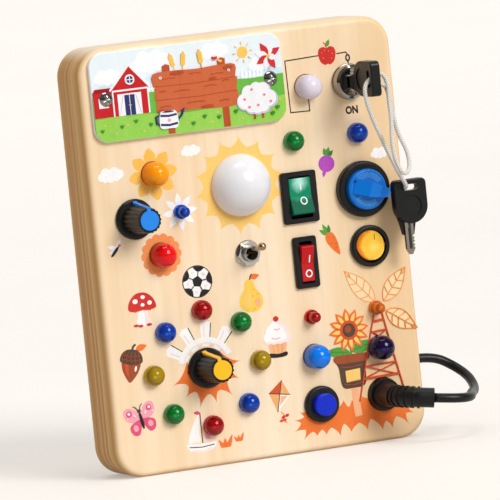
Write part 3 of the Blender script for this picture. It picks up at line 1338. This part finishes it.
HULL = [(-9.4, -5.4), (0, -6.2), (9.0, -5.4), (7.0, -9.6), (0, -10.8), (-7.0, -9.8)]
print_picture("boat", (-45.6, 20.4), [
    *strokes("brown", 0.7, [(0.6, -5.6), (0.6, 12.2)]),
    ("white", smooth(SAIL, 5)),
    ("blush", smooth(JIB, 5)),
    ("pink", smooth(JIB_HEART, 5)),
    *leaves("rose", (0.7, 12.0, 4.2, 2.2, 172)),
    ("white", smooth(HULL, 5)),
    *strokes("black", 0.55, [(-8.0, -7.2), (0, -7.9), (7.8, -7.2)]),
    *strokes("blush", 0.7, [(-6.2, -9.4), (0, -10.3), (6.2, -9.2)]),
])
print("kite and boat done")

# %% Butterfly and acorn
WING = smooth([(0.6, 0.2), (2.6, 6.2), (7.0, 8.6), (9.8, 6.4), (9.0, 1.6), (5.0, -0.8)], 5)
LOWER_WING = smooth([(0.6, -0.4), (5.0, -0.8), (8.2, -3.2), (7.2, -7.6), (3.6, -8.6), (1.2, -4.6)], 5)
butterfly = [("pink", WING), ("pink", mirrored(WING)), ("rose", LOWER_WING), ("rose", mirrored(LOWER_WING))]
for side in (1, -1):
    butterfly += [
        *ovals("rose", (6.4 * side, 5.0, 3.4, 3.6)),
        *ovals("blush", (6.6 * side, 5.2, 1.7)),
        *ovals("pink", (4.8 * side, -4.2, 3.2, 3.8)),
        *ovals("blush", (8.2 * side, 2.4, 1.0), count=10),
        *ovals("blush", (3.6 * side, 3.0, 1.1, 2.0, -30 * side)),
        *strokes("black", 0.4, [(0.3 * side, 4.6), (1.5 * side, 7.4), (3.0 * side, 8.4)]),
    ]
butterfly += ovals("black", (0, -0.8, 1.8, 10.4)) + ovals("brown", (0, 4.8, 2.2, 2.2))
print_picture("butterfly", (-81.8, 34.0), placed(butterfly, turn=12))

NUT = smooth([
    (-5.6, 1.4), (-5.2, -3.6), (-2.6, -8.2), (0, -10.8), (2.6, -8.2), (5.2, -3.6), (5.6, 1.4), (0, 2.4),
])
CUP = smooth([
    (-7.0, 1.4), (-6.2, 5.6), (-2.8, 8.2), (2.8, 8.2), (6.2, 5.6), (7.0, 1.4), (3.6, 0.0), (0, -0.5),
    (-3.6, 0.0),
])
CUP_UPRIGHTS = [[(x, 7.0), (x * 1.25 - 0.6, 3.8), (x * 1.3, 0.6)] for x in (-4.2, -2.1, 0.1, 2.2, 4.2)]
CUP_BANDS = [[(-6.0, z), (0, z - 1.1), (6.0, z)] for z in (5.2, 2.8)]
acorn = [
    *strokes("brown", 1.3, [(0, 7.6), (0.6, 10.2), (2.0, 11.6)]),
    ("chestnut", NUT),
    ("rust", smooth([(-3.6, 0.6), (-3.4, -3.4), (-1.2, -7.4), (-1.4, -2.6), (-1.8, 1.0)])),
    ("brown", CUP),
    *strokes("chestnut", 0.4, *CUP_UPRIGHTS, *CUP_BANDS),
    *leaves("orange", (2.4, 8.6, 7.2, 3.8, 24)),
    *ovals("white", (3.0, -2.6, 1.3, 3.4, -8)),
]
print_picture("acorn", (-84.6, 66.4), placed(acorn, turn=-10))
print("butterfly and acorn done")

# %% [markdown]
# A tall sunflower in a brown pot stands in the straw, tied to a stake. Beside it a red garden
# ladder reaches up to the orange lamp, which is the heart of a flower of three drawn leaves.

# %% Sunflower and pot
POT_AT, SUNFLOWER = (54.0, 54.0), (54.2, 68.0)
POT = [(-9.4, -2.0), (9.6, -2.0), (8.6, -8.0), (7.6, -18.6), (0, -20.0), (-7.0, -18.8), (-8.4, -8.0)]
POT_BANDS = [[(-6.6, -7.2), (0, -7.8), (7.0, -7.0)], [(-6.0, -17.4), (0, -18.4), (6.2, -17.2)]]
POT_RIM = smooth([(-10.4, -0.6), (0, -0.2), (10.6, -0.6), (10.4, -4.6), (0, -5.2), (-10.0, -4.6)], 5)
stake = strokes("peach", 4.6, [(0.4, -19.0), (0.8, -30.0), (1.4, -37.0)])
print_picture("sunflower_stake", POT_AT, stake, lift=1)
print_picture("sunflower_pot", POT_AT, [
    *strokes("leaf", 1.5, [(0, 10), (0.6, 3), (0, -3)]),
    *leaves("leaf", (0, 1.5, 18.0, 7.0, 14), (0.2, 0.5, 17.0, 6.6, 172)),
    *strokes("dark_leaf", 0.5, [(2, 2.1), (16, 5.5)], [(-2, 0.9), (-15, 2.8)]),
    ("brown", smooth(POT, 5)),
    ("chestnut", POT_RIM),
    ("sun", [(-4.6, -9.6), (5.0, -9.0), (4.6, -15.6), (-4.4, -16.2)]),
    *strokes("tan", 0.6, [(-4.4, -16.2), (4.6, -15.6)]),
    *strokes("chestnut", 0.5, *POT_BANDS),
], lift=2)
PETAL, PETAL_HEART = leaf(0, 0, 8.4, 4.4, 0), leaf(0, 0, 6.4, 2.2, 0)
ring_of("sunflower_petals", PETAL, "orange", 12, *SUNFLOWER, level=12, radius=4.4, start=5)
ring_of("sunflower_petal_hearts", PETAL_HEART, "sun", 12, *SUNFLOWER, level=13, radius=4.6, start=5)
heart = ovals("rust", (0, 0, 11.6)) + ovals("brown", (0, 0, 8.2)) + ovals("chestnut", (-0.6, 0.6, 4.2))
print_picture("sunflower_heart", SUNFLOWER, heart, lift=14)
print("sunflower done")

# %% Leaves of line round the orange lamp
AMBER_BULLET = (75.6, 79.0)
LEAF_LENGTHS = {131: 27, 49: 24, -34: 23}
LEAF_WIDTH, LEAF_START = 10.5, 4.4
DRAWN_LEAVES = [
    (*polar(LEAF_START, turn), length, LEAF_WIDTH, turn) for turn, length in LEAF_LENGTHS.items()
]
VEINS, VEIN_SLANT, VEIN_SHARE = 5, 0.1, 0.94
EDGE_LINE, VEIN_LINE = 0.42, 0.36


def drawn_leaf(x, z, length, width, turn):
    """A leaf as lines: its edge, its midrib and a few veins each side."""
    edge = leaf(0, 0, length, width, 0, 16)
    shapes = strokes("line", EDGE_LINE, edge + [edge[0]], [(0, 0), (length, 0)])
    for t in (k / VEINS for k in range(1, VEINS)):
        tip = min(1.0, t + VEIN_SLANT)
        reach = leaf_reach(width, tip) * VEIN_SHARE
        pair = [[(length * t, 0), (length * tip, reach * side)] for side in (1, -1)]
        shapes += strokes("line", VEIN_LINE, *pair)
    return placed(shapes, x, z, turn=turn)


fills = [("peachy", leaf(*size, 16)) for size in DRAWN_LEAVES]
lines = [layer for size in DRAWN_LEAVES for layer in drawn_leaf(*size)]
print_picture("drawn_leaf_fill", AMBER_BULLET, fills)
print_picture("drawn_leaves", AMBER_BULLET, lines, lift=4)
print("drawn leaves", len(DRAWN_LEAVES))

# %% The garden ladder
LADDER_TOP, LADDER_HALF = 75.5, 2.6
SPREAD_LEFT, SPREAD_RIGHT = 0.285, 0.205
THICK_RUNGS, THIN_RUNGS = (71.0, 38.2), (65.0, 58.6, 45.4)


def rung(z):
    """A rung at height z between the legs, which spread downwards; it rises a little to the right."""
    down = LADDER_TOP - z
    return [(-LADDER_HALF - down * SPREAD_LEFT, z), (LADDER_HALF + down * SPREAD_RIGHT, z + 0.6)]


LEGS = [
    [(-LADDER_HALF, LADDER_TOP), (-8.6, 56.0), (-17.0, 25.5)],
    [(LADDER_HALF, LADDER_TOP), (6.4, 56.0), (12.0, 30.0)],
]
BRACES = [
    [(-5.6, 65.6), (5.0, 58.6)], [(4.6, 65.6), (-7.4, 58.6)],
    [(-11.2, 45.4), (9.6, 38.4)], [(8.6, 45.4), (-13.2, 38.4)],
]
ladder = strokes("rust", 0.7, *LEGS)
for z in sorted(THICK_RUNGS + THIN_RUNGS, reverse=True):
    ladder += strokes("rust", 1.3 if z in THICK_RUNGS else 0.8, rung(z))
ladder += strokes("rust", 0.5, *BRACES)
print_picture("garden_ladder", (73.8, 0.0), ladder, lift=30)
print("ladder with", len(THICK_RUNGS + THIN_RUNGS), "rungs")

# %% [markdown]
# ### The circuit, ON, and the marks on the switches
#
# A thin black line runs from the lilac lamp by way of the apple to the lock, like a wire in a
# diagram. The word ON stands under the lock. Text is a curve object, so it is made a mesh
# before it gets its place. The marks on the rockers must lie on their sloping faces: each point
# of the flat mark looks straight back and moves to where it meets the rocker.

# %% Circuit line and ON
CIRCUIT = [
    *strokes(
        "black", 0.7, [(43.4, 206.0), (43.4, 198.8), (31.2, 199.1), (30.7, 229.4), (52.6, 230.2)],
        [(63.8, 230.0), (69.9, 230.3), (70.7, 229.0)],
    ),
    ("black", oval(70.8, 226.9, 3.1, 4.4), [oval(70.8, 226.9, 1.3, 2.4)]),
    *strokes("black", 0.8, [(70.8, 225.0), (70.8, 222.6)]),
]
print_picture("circuit_line", (0.0, 0.0), CIRCUIT)
WORD_NARROWING, WORD_BOLDNESS = 0.84, 0.05


def word(name, text, height, x, z):
    """A word as a thin printed mesh, centred on x, z (in millimetres)."""
    data = bpy.data.curves.new(name, "FONT")
    data.body, data.align_x, data.align_y, data.size = text, "CENTER", "CENTER", height * MM
    data.offset, data.extrude, data.resolution_u = WORD_BOLDNESS * height * MM, 1.5 * INK_T, 3
    carrier = add_to_scene("flat_word", data)
    mesh = plain_mesh(carrier)
    bpy.data.objects.remove(carrier)
    place = Matrix.Translation((x * MM, FRONT + 0.5 * INK_T, z * MM))
    narrow = Matrix.Scale(WORD_NARROWING, 4, (1, 0, 0))
    mesh.transform(place @ Matrix.Rotation(pi / 2, 4, "X") @ narrow)
    mesh.materials.clear()
    mesh.materials.append(INKS["black"])
    piece = add_to_scene(name, mesh)
    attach(piece, "board")
    return piece


on_word = word("on_word", "ON", 6.0, 70.2, 196.0)
print("ON is", [round(v / MM, 2) for v in on_word.dimensions], "mm")

# %% Marks that lie on a sloping face
AHEAD = -0.2
DRAPE_LIFT = 0.04 * MM


def drape(name, node, outlines, finish, body):
    """Flat marks pressed on to a node's front: every point looks back along Y until it meets the node."""
    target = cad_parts[node].data
    tree = BVHTree.FromPolygons([v.co for v in target.vertices], [p.vertices for p in target.polygons])
    shape = bmesh.new()
    for outline, *holes in outlines:
        film(shape, outline, 0, 1, AHEAD, holes=holes)
    for vert in shape.verts:
        ahead = vert.co.y < AHEAD
        hit = tree.ray_cast(Vector((vert.co.x, 1.5 * AHEAD, vert.co.z)), Vector((0, 1, 0)))[0]
        vert.co.y = hit.y + (-DRAPE_LIFT if ahead else DRAPE_LIFT / 2)
    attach(finish_mesh(name, shape, finish), body)


def ring_mark(x, z, width, height, line):
    return oval(x, z, width, height), oval(x, z, width - 2 * line, height - 2 * line)


def bar_mark(x, z, width, height):
    return ([(x, z), (x + width, z), (x + width, z + height), (x, z + height)],)


mark_white = ink("mark_white_paint", "#f4f6f4", "#e9ecea", 0.3)
green_marks = [bar_mark(31.1, 153.8, 0.8, 3.6), ring_mark(32.4, 147.4, 4.3, 4.5, 0.6)]
drape("green_rocker_marks", "green_rocker", green_marks, mark_white, "green_switch")
red_marks = [bar_mark(31.8, 111.0, 0.8, 4.4), ring_mark(31.5, 104.6, 4.4, 4.7, 0.75)]
drape("red_rocker_marks", "red_rocker", red_marks, mark_white, "red_switch")
print("marks done")

# %% [markdown]
# ## The picture plate
#
# A glossy plate hangs at the upper left on two chrome screws. Its picture is a meadow with a
# red shed, a blank wooden sign between two posts, a white blossom bush and a toy windmill, all
# in flat colours. The plate is dressed in white, which shows at its edge, and the picture is
# printed on it with the same films, in glossy ink. The lowest films cover the whole plate, so
# their outline is the plate's own rounded rectangle, a little smaller.

# %% Inks for the plate
PLATE_COLOURS = {
    "sky": ("#eaf2f5", "#e2edf2"),
    "haze": ("#d7ebf3", "#cfe6f0"),
    "cloud": ("#f8f9f9", "#f2f4f5"),
    "meadow": ("#6dbb48", "#62b13f"),
    "grass": ("#9ad257", "#8fc94c"),
    "blade": ("#3f9a3a", "#368f33"),
    "barn": ("#cd2429", "#c01d23"),
    "roof": ("#a81a22", "#9c151d"),
    "trim": ("#f4f3f3", "#eaeaeb"),
    "navy": ("#363a74", "#2d3167"),
    "board": ("#cf6a40", "#c76038"),
    "board_dark": ("#b9502c", "#ad4826"),
    "post": ("#bf5230", "#b34828"),
    "wheat": ("#f6c960", "#f2bf50"),
    "lilac": ("#cfc8dc", "#c5bdd3"),
    "scarlet": ("#d8353b", "#cd2c33"),
}
for name, (colour, shade) in PLATE_COLOURS.items():
    INKS[name] = ink("plate_" + name + "_ink", colour, shade, 0.2)
print("plate inks", len(PLATE_COLOURS))

# %% Outlines that reach the plate's edge
low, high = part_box("picture_plate")
PLATE, PLATE_FACE = middle_of("picture_plate"), low.y
PLATE_W, PLATE_H = (high.x - low.x) / MM, (high.z - low.z) / MM
MARGIN, CORNER, CORNER_STEPS = 0.35, 8.2, 8
HILL_STEPS = 5
LINE_CLEARANCE = 0.2
EDGE_X = PLATE_W / 2 - MARGIN


def plate_picture(name, lift, layers, *place, **how):
    """A picture on the plate, in millimetres round the plate's middle, or moved from there."""
    print_picture(name, PLATE, placed(layers, *place, **how), lift, PLATE_FACE)


def plate_rim():
    """The plate's rounded outline, a little smaller, from the upper right corner anticlockwise."""
    x, z = EDGE_X - CORNER, PLATE_H / 2 - MARGIN - CORNER
    line = []
    for cx, cz, start in ((x, z, 0), (-x, z, 90), (-x, -z, 180), (x, -z, 270)):
        line += [polar(CORNER, start + 90 * k / CORNER_STEPS, cx, cz) for k in range(CORNER_STEPS + 1)]
    return line


def below(points, rim):
    """The part of the plate under a line that runs from its left edge to its right one."""
    left, right = points[0], points[-1]
    lower = [p for p in rim if p[1] < (left if p[0] < 0 else right)[1] - LINE_CLEARANCE]
    down = sorted([p for p in lower if p[0] > 0], key=lambda p: -p[1])
    return points + down + sorted([p for p in lower if p[0] <= 0], key=lambda p: p[1])


def hills(*heights):
    """A gentle line from the plate's left to its right through evenly spaced heights."""
    width = 2 * EDGE_X / (len(heights) - 1)
    line = []
    for k, (start, end) in enumerate(zip(heights, heights[1:])):
        for t in (step / HILL_STEPS for step in range(HILL_STEPS)):
            line.append((width * (k + t) - EDGE_X, start + (end - start) * (0.5 - 0.5 * cos(pi * t))))
    return line + [(EDGE_X, heights[-1])]


RIM = plate_rim()
print("plate", round(PLATE_W, 1), "by", round(PLATE_H, 1), "mm")

# %% Sky
HAZE = below(hills(4, 14, 8, 12, 5, 9, 3, 10, 5), RIM)
SMALL_CLOUDS = [(1.7, -22, 17.4), (1.3, 18, 19.4), (1.2, -50, 11.5), (1.0, 46, 8.4)]
clouds = [("cloud", scaled(CLOUD, *size_and_place)) for size_and_place in SMALL_CLOUDS]
plate_picture("plate_sky", 0, [("sky", RIM), ("haze", HAZE), *clouds])
print("sky done, clouds in it", len(SMALL_CLOUDS))

# %% [markdown]
# A picket fence is one shape again and again, so the tree that made the rays could make it as
# well: with a huge radius and a tiny step, a circle is nearly a straight line. It is simpler to
# give each picket its own film, though, because there are only eight.

# %% Fence, meadow and sun
STAKE_HALF, STAKE_FOOT, STAKE_SHOULDER, STAKE_TIP = 0.75, -1.5, 5.0, 6.2


def block(left, foot, right, top):
    return [(left, foot), (right, foot), (right, top), (left, top)]


def picket(x):
    *post, last = block(x - STAKE_HALF, STAKE_FOOT, x + STAKE_HALF, STAKE_SHOULDER)
    return [*post, (x, STAKE_TIP), last]


fence = [("cloud", picket(x)) for x in (-24.6, -22.2, 34.6, 37.0, 39.4, 41.8, 44.2, 46.6)]
fence += [("cloud", block(left, 1.6, right, 2.5)) for left, right in ((-25.6, -20.0), (33.6, 47.6))]
plate_picture("plate_fence", 7, fence)
MEADOW = below(hills(0.5, 1.6, 0.2, 1.2, 2.2, 1.0, 1.8), RIM)
GRASS = below(hills(-12.0, -10.6, -12.4, -14.0, -12.6, -13.4, -10.8), RIM)
plate_picture("plate_meadow", 18, [("meadow", MEADOW), ("grass", GRASS)])
rays = strokes("wheat", 0.6, *[[polar(4.3, a), polar(6.3, a)] for a in range(5, 365, 45)])
plate_picture("plate_sun", 8, ovals("wheat", (0, 0, 6.6)) + rays, 36.0, 16.6)
print("fence has", len(fence), "shapes, the sun", len(rays), "rays")

# %% Shed
GROUND = -12
SHED = [(-11.4, GROUND), (11.4, GROUND), (11.4, 4.2), (0.4, 16.4), (-11.4, 4.2)]
shed = [
    ("barn", block(-23.2, GROUND, -10.6, 2.6)),
    ("roof", [(-23.4, 2.4), (-10.6, 2.4), (-10.6, 4.8), (-21.8, 4.8)]),
    ("trim", block(-20.0, -6.4, -14.0, -0.6)),
    ("barn", SHED),
    *strokes("trim", 1.3, [(-12.6, 3.0), (0.4, 17.0), (12.6, 3.0)]),
    *strokes("trim", 1.0, [(-11.2, 2.6), (11.2, 2.6)]),
    *strokes("trim", 0.9, [(-11.0, GROUND), (-11.0, 2.4)], [(11.0, GROUND), (11.0, 2.4)]),
    ("trim", block(-8.2, GROUND, 6.6, 0.6)),
    ("navy", block(-4.0, GROUND, 2.4, -0.2)),
    *strokes("lilac", 0.4, [(-7.4, -11.4), (-4.8, -0.4)], [(3.2, -0.4), (5.8, -11.4)]),
    *strokes("trim", 0.35, [(-0.8, GROUND), (-0.8, -0.2)]),
    *ovals("trim", (0.3, 8.4, 6.0)),
    *ovals("navy", (0.3, 8.4, 4.2)),
    *strokes("trim", 0.5, [(0.3, 6.2), (0.3, 10.6)], [(-1.9, 8.4), (2.5, 8.4)]),
    *ovals("wheat", (-1.4, -6.2, 0.6), (-0.2, -6.2, 0.6), count=8),
]
plate_picture("plate_shed", 20, shed, -36.6, 0.6)
print("shed has", len(shed), "shapes")

# %% Blank sign on two posts
SIGN = smooth([
    (-23.0, 10.0), (-10, 10.8), (4, 10.2), (18, 10.9), (28.6, 10.2), (28.2, 3.2), (29.4, 2.6), (28.4, -4.6),
    (29.0, -5.4), (28.0, -13.2), (14, -13.8), (0, -13.0), (-12, -13.9), (-22.0, -13.2), (-22.4, -5.6),
    (-23.4, -5.0), (-22.6, 2.2), (-23.6, 3.0),
], 3)
STREAKS = [
    (-14, 6.2, 9), (3, 7.6, 7), (17, 5.8, 8), (-6, -1.6, 10), (12, -0.6, 8), (-17, -9.6, 7), (2, -9.0, 11),
    (20, -10.0, 6), (22, 1.4, 4), (-18, -0.8, 4),
]
BOARD_GAPS = [[(-22.8, 2.6), (0, 2.0), (28.4, 2.9)], [(-22.6, -5.3), (4, -5.8), (28.6, -5.0)]]
KNOTS = [(-8, 9.2, 9, 2.2), (9, -12.2, 8, 2.0), (24, 8.8, 6, 2.4), (-20, -11.8, 5, 2.0), (14, 3.6, 5, 1.5)]
NAILS = [(-18.8, 7.4), (24.2, 7.2)]
streaks = [[(x - width / 2, z), (x, z + 0.5), (x + width / 2, z + 0.1)] for x, z, width in STREAKS]
sign = [
    ("post", [(x - 2.1, -25.4), (x + 2.1, -25.4), (x + 2.3, 14.2), (x, 15.0), (x - 2.3, 14.0)])
    for x in (-14.6, 20.4)
]
sign += [
    ("board", SIGN),
    *strokes("board_dark", 0.5, *BOARD_GAPS, *streaks),
    *ovals("board_dark", *KNOTS),
    *ovals("trim", *[(x, z, 1.7) for x, z in NAILS]),
    *ovals("board_dark", *[(x, z, 0.8) for x, z in NAILS], count=10),
]
plate_picture("plate_sign", 24, sign, 1.6, 0.2)
print("sign has", len(sign), "shapes")

# %% Bush and toy windmill
BUSH = lumps(
    (0, 0, 12), (-8, -1.0, 10), (8, -0.6, 10.4), (-5, 4.0, 9), (4.4, 4.6, 9.6), (0, 6.0, 8), (-4, -4.6, 8),
    (4, -4.8, 8), (0, -5.4, 8),
)
BLOSSOMS = [(-8, 0.6), (-3, 5.8), (4.6, 2.0), (8.4, -2.2), (0.2, -3.6), (-5.4, -4.2)]
bush = [
    *strokes("post", 1.2, [(-2, -6), (-2.4, -11.4)], [(2.6, -6), (3.0, -11.2)]),
    ("lilac", BUSH),
    ("trim", scaled(BUSH, 0.93, -0.3, 0.5)),
    *ovals("pink", *[(x, z, 1.9, 1.7) for x, z in BLOSSOMS]),
    *ovals("rose", *[(x, z, 0.8) for x, z in BLOSSOMS], count=10),
]
plate_picture("plate_bush", 40, bush, 42.0, -11.4)
SAILS = [(9.0, 4.2)] * 3 + [(8.6, 4.2)] * 4 + [(5.6, 3.6)]
mill = [("lilac", [(-1.0, -16), (1.6, -16), (0.9, 0), (-0.5, 0)])]
for k, (length, width) in enumerate(SAILS):
    mill += leaves("trim" if k % 2 else "scarlet", (0.2, 0, length, width, 28 + 45 * k))
plate_picture("plate_toy_windmill", 8, mill + ovals("wheat", (0.2, 0, 2.4)), 51.6, 12.6)
print("bush and toy windmill done")

# %% Watering can, wheat and flowers
can = [
    *strokes("navy", 1.4, [(5.4, -2.0), (9.6, 1.4), (11.2, 4.6)]),
    ("navy", [(10.0, 4.2), (12.6, 5.4), (12.0, 6.2), (9.6, 5.0)]),
    *strokes("navy", 1.2, [(-5.2, 3.4), (-8.8, 2.0), (-8.6, -2.4), (-5.4, -4.0)]),
    ("trim", smooth([(-5.8, 4.6), (0, 5.2), (5.8, 4.6), (6.4, -5.4), (0, -6.4), (-6.4, -5.4)], 4)),
    *strokes("navy", 1.5, [(-6.0, 2.6), (0, 2.0), (6.0, 2.6)], [(-6.2, -3.4), (0, -4.2), (6.2, -3.4)]),
    *ovals("pink", (0.2, -0.9, 2.6, 2.2)),
    *ovals("navy", (0, 4.9, 8.6, 1.2)),
]
plate_picture("plate_watering_can", 50, can, -14.6, -16.4, 0.86)
ear = strokes("wheat", 0.45, [(0, 0), (5.4, 0)])
ear += leaves("wheat", *[(2.6 + 1.5 * k, 0, 2.6, 1.4, 34 * side) for k in range(4) for side in (1, -1)])
ear += leaves("wheat", (8.0, 0, 3.0, 1.6, 0))
ears = []
for x, turn in ((-7.4, 104), (-2.6, 82), (9.6, 96)):
    ears += placed(ear, x, 10.6, turn=turn)
ears += leaves("scarlet", (17.6, 14.4, 2.6, 1.8, 40), (17.6, 14.4, 2.2, 1.6, 120))
ears += leaves("wheat", (20.6, 12.8, 2.0, 1.4, 20), (20.6, 12.8, 2.0, 1.4, 110))
plate_picture("plate_wheat", 8, ears)
FLOWERS = [
    (-54, -16), (-47.5, -21), (-40, -17), (-30, -21.6), (-3.0, -20.2), (4.0, -17.4), (12.6, -21.4),
    (16.4, -16.2), (32, -21.4), (56.4, -13.4), (47, -4.0), (37, -3.2),
]
BLADES = [
    (-56, -20), (-43.6, -18.6), (-34.6, -16.4), (-25.6, -19.4), (1.0, -21.8), (8.4, -18.6), (17.4, -20.0),
    (28.2, -18.0), (54.6, -18.6), (51.2, -21.8),
]
flowers = []
for k, (x, z) in enumerate(FLOWERS):
    flowers += ovals("peach" if k % 3 else "wheat", (x, z, 1.2, 1.0), count=12)
flowers += leaves("blade", *[(x, z, 2.3, 0.7, turn) for x, z in BLADES for turn in (60, 92, 126)])
plate_picture("plate_flowers", 21, flowers)
print("plate picture done, flowers", len(FLOWERS))

# %% [markdown]
# ## Small parts of the switches
#
# The blue selector has fine ribs round its wall and short ones on its face, either side of the
# grip. They are one bar, repeated by the same tree, which rides on the selector and turns with
# it. The lock has a turned groove and a dot for ON, and the spare key a groove along its blade.

# %% Selector ribs and marks
SELECTOR = middle_of("selector_body")
WALL_RIB = [(11.6, -0.17), (12.1, -0.1), (12.1, 0.1), (11.6, 0.17)]
FACE_RIB = [(6.6, -0.13), (10.0, -0.16), (10.0, 0.16), (6.6, 0.13)]
WALL_RIB_FROM, WALL_RIB_PROUD = 5.2, 2.8
FACE_RIB_FROM, FACE_RIB_PROUD = 9.55, 0.4
HATCH_WIDTH, HATCH_HALF, HATCH_TURN = 0.34, 2.6, -18


def ribs(name, bar, finish, start_out, proud, count, **how):
    """Bars round the selector's middle, from start_out mm before the panel and proud mm from there."""
    centre = (SELECTOR[0] * MM, FRONT - start_out * MM, SELECTOR[1] * MM)
    repeat_round(name, bar, proud * MM / INK_T - 1, finish, centre, "selector", count, **how)


selector_light = moulded_plastic("selector_rib_plastic", "#6cc0fa", "#5ab2f4", 0.25)
selector_shade = moulded_plastic("selector_groove_plastic", "#0b5cb4", "#0950a2", 0.3)
ribs("selector_wall_ribs", WALL_RIB, selector_blue, WALL_RIB_FROM, WALL_RIB_PROUD, 84)
for name, count, start in (("selector_face_ribs_upper", 22, 32), ("selector_face_ribs_lower", 18, -148)):
    ribs(name, FACE_RIB, selector_light, FACE_RIB_FROM, FACE_RIB_PROUD, count, start=start, step=5)
hatch = [
    (turned(block(r, -HATCH_HALF, r + HATCH_WIDTH, HATCH_HALF), HATCH_TURN, *SELECTOR),)
    for r in (5.4, 6.1, 6.8, 7.5, 8.2, 8.9, 9.6)
]
drape("selector_grip_hatch", "selector_knob", hatch, selector_shade, "selector")
dot = oval(SELECTOR[0] - 8.2, SELECTOR[1] + 5.3, 1.7)
drape("selector_dot", "selector_knob", [(dot,)], INKS["black"], "selector")
print("selector at", [round(v, 1) for v in SELECTOR])

# %% Grooves and dots on the lock, the amber rocker and the spare key
LOCK = middle_of("lock_body")
GROOVE_OUTER, GROOVE_INNER = 16.4, 15.6
GROOVE_TOP, GROOVE_FOOT, GROOVE_ASIDE, GROOVE_WIDTH = 1.5, 3.2, 0.2, 1.5
groove = (oval(*LOCK, GROOVE_OUTER, count=48), oval(*LOCK, GROOVE_INNER, count=48))
drape("lock_groove", "lock_body", [groove], INKS["black"], "board")
drape("lock_dot", "lock_body", [(oval(LOCK[0] + 1.2, LOCK[1] - 6.9, 1.5),)], INKS["black"], "board")
amber_line = stroke([(75.7, 122.2), (75.6, 118.9)], 0.4)
drape("amber_rocker_mark", "round_rocker", [(amber_line,)], INKS["brown"], "round_switch")
low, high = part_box("spare_key_blade")
x = middle_of("spare_key_blade")[0] + GROOVE_ASIDE
key_groove = stroke([(x, high.z / MM - GROOVE_TOP), (x, low.z / MM + GROOVE_FOOT)], GROOVE_WIDTH)
drape("spare_key_groove", "spare_key_blade", [(key_groove,)], groove_steel, "lanyard")
print("lock at", [round(v, 1) for v in LOCK])
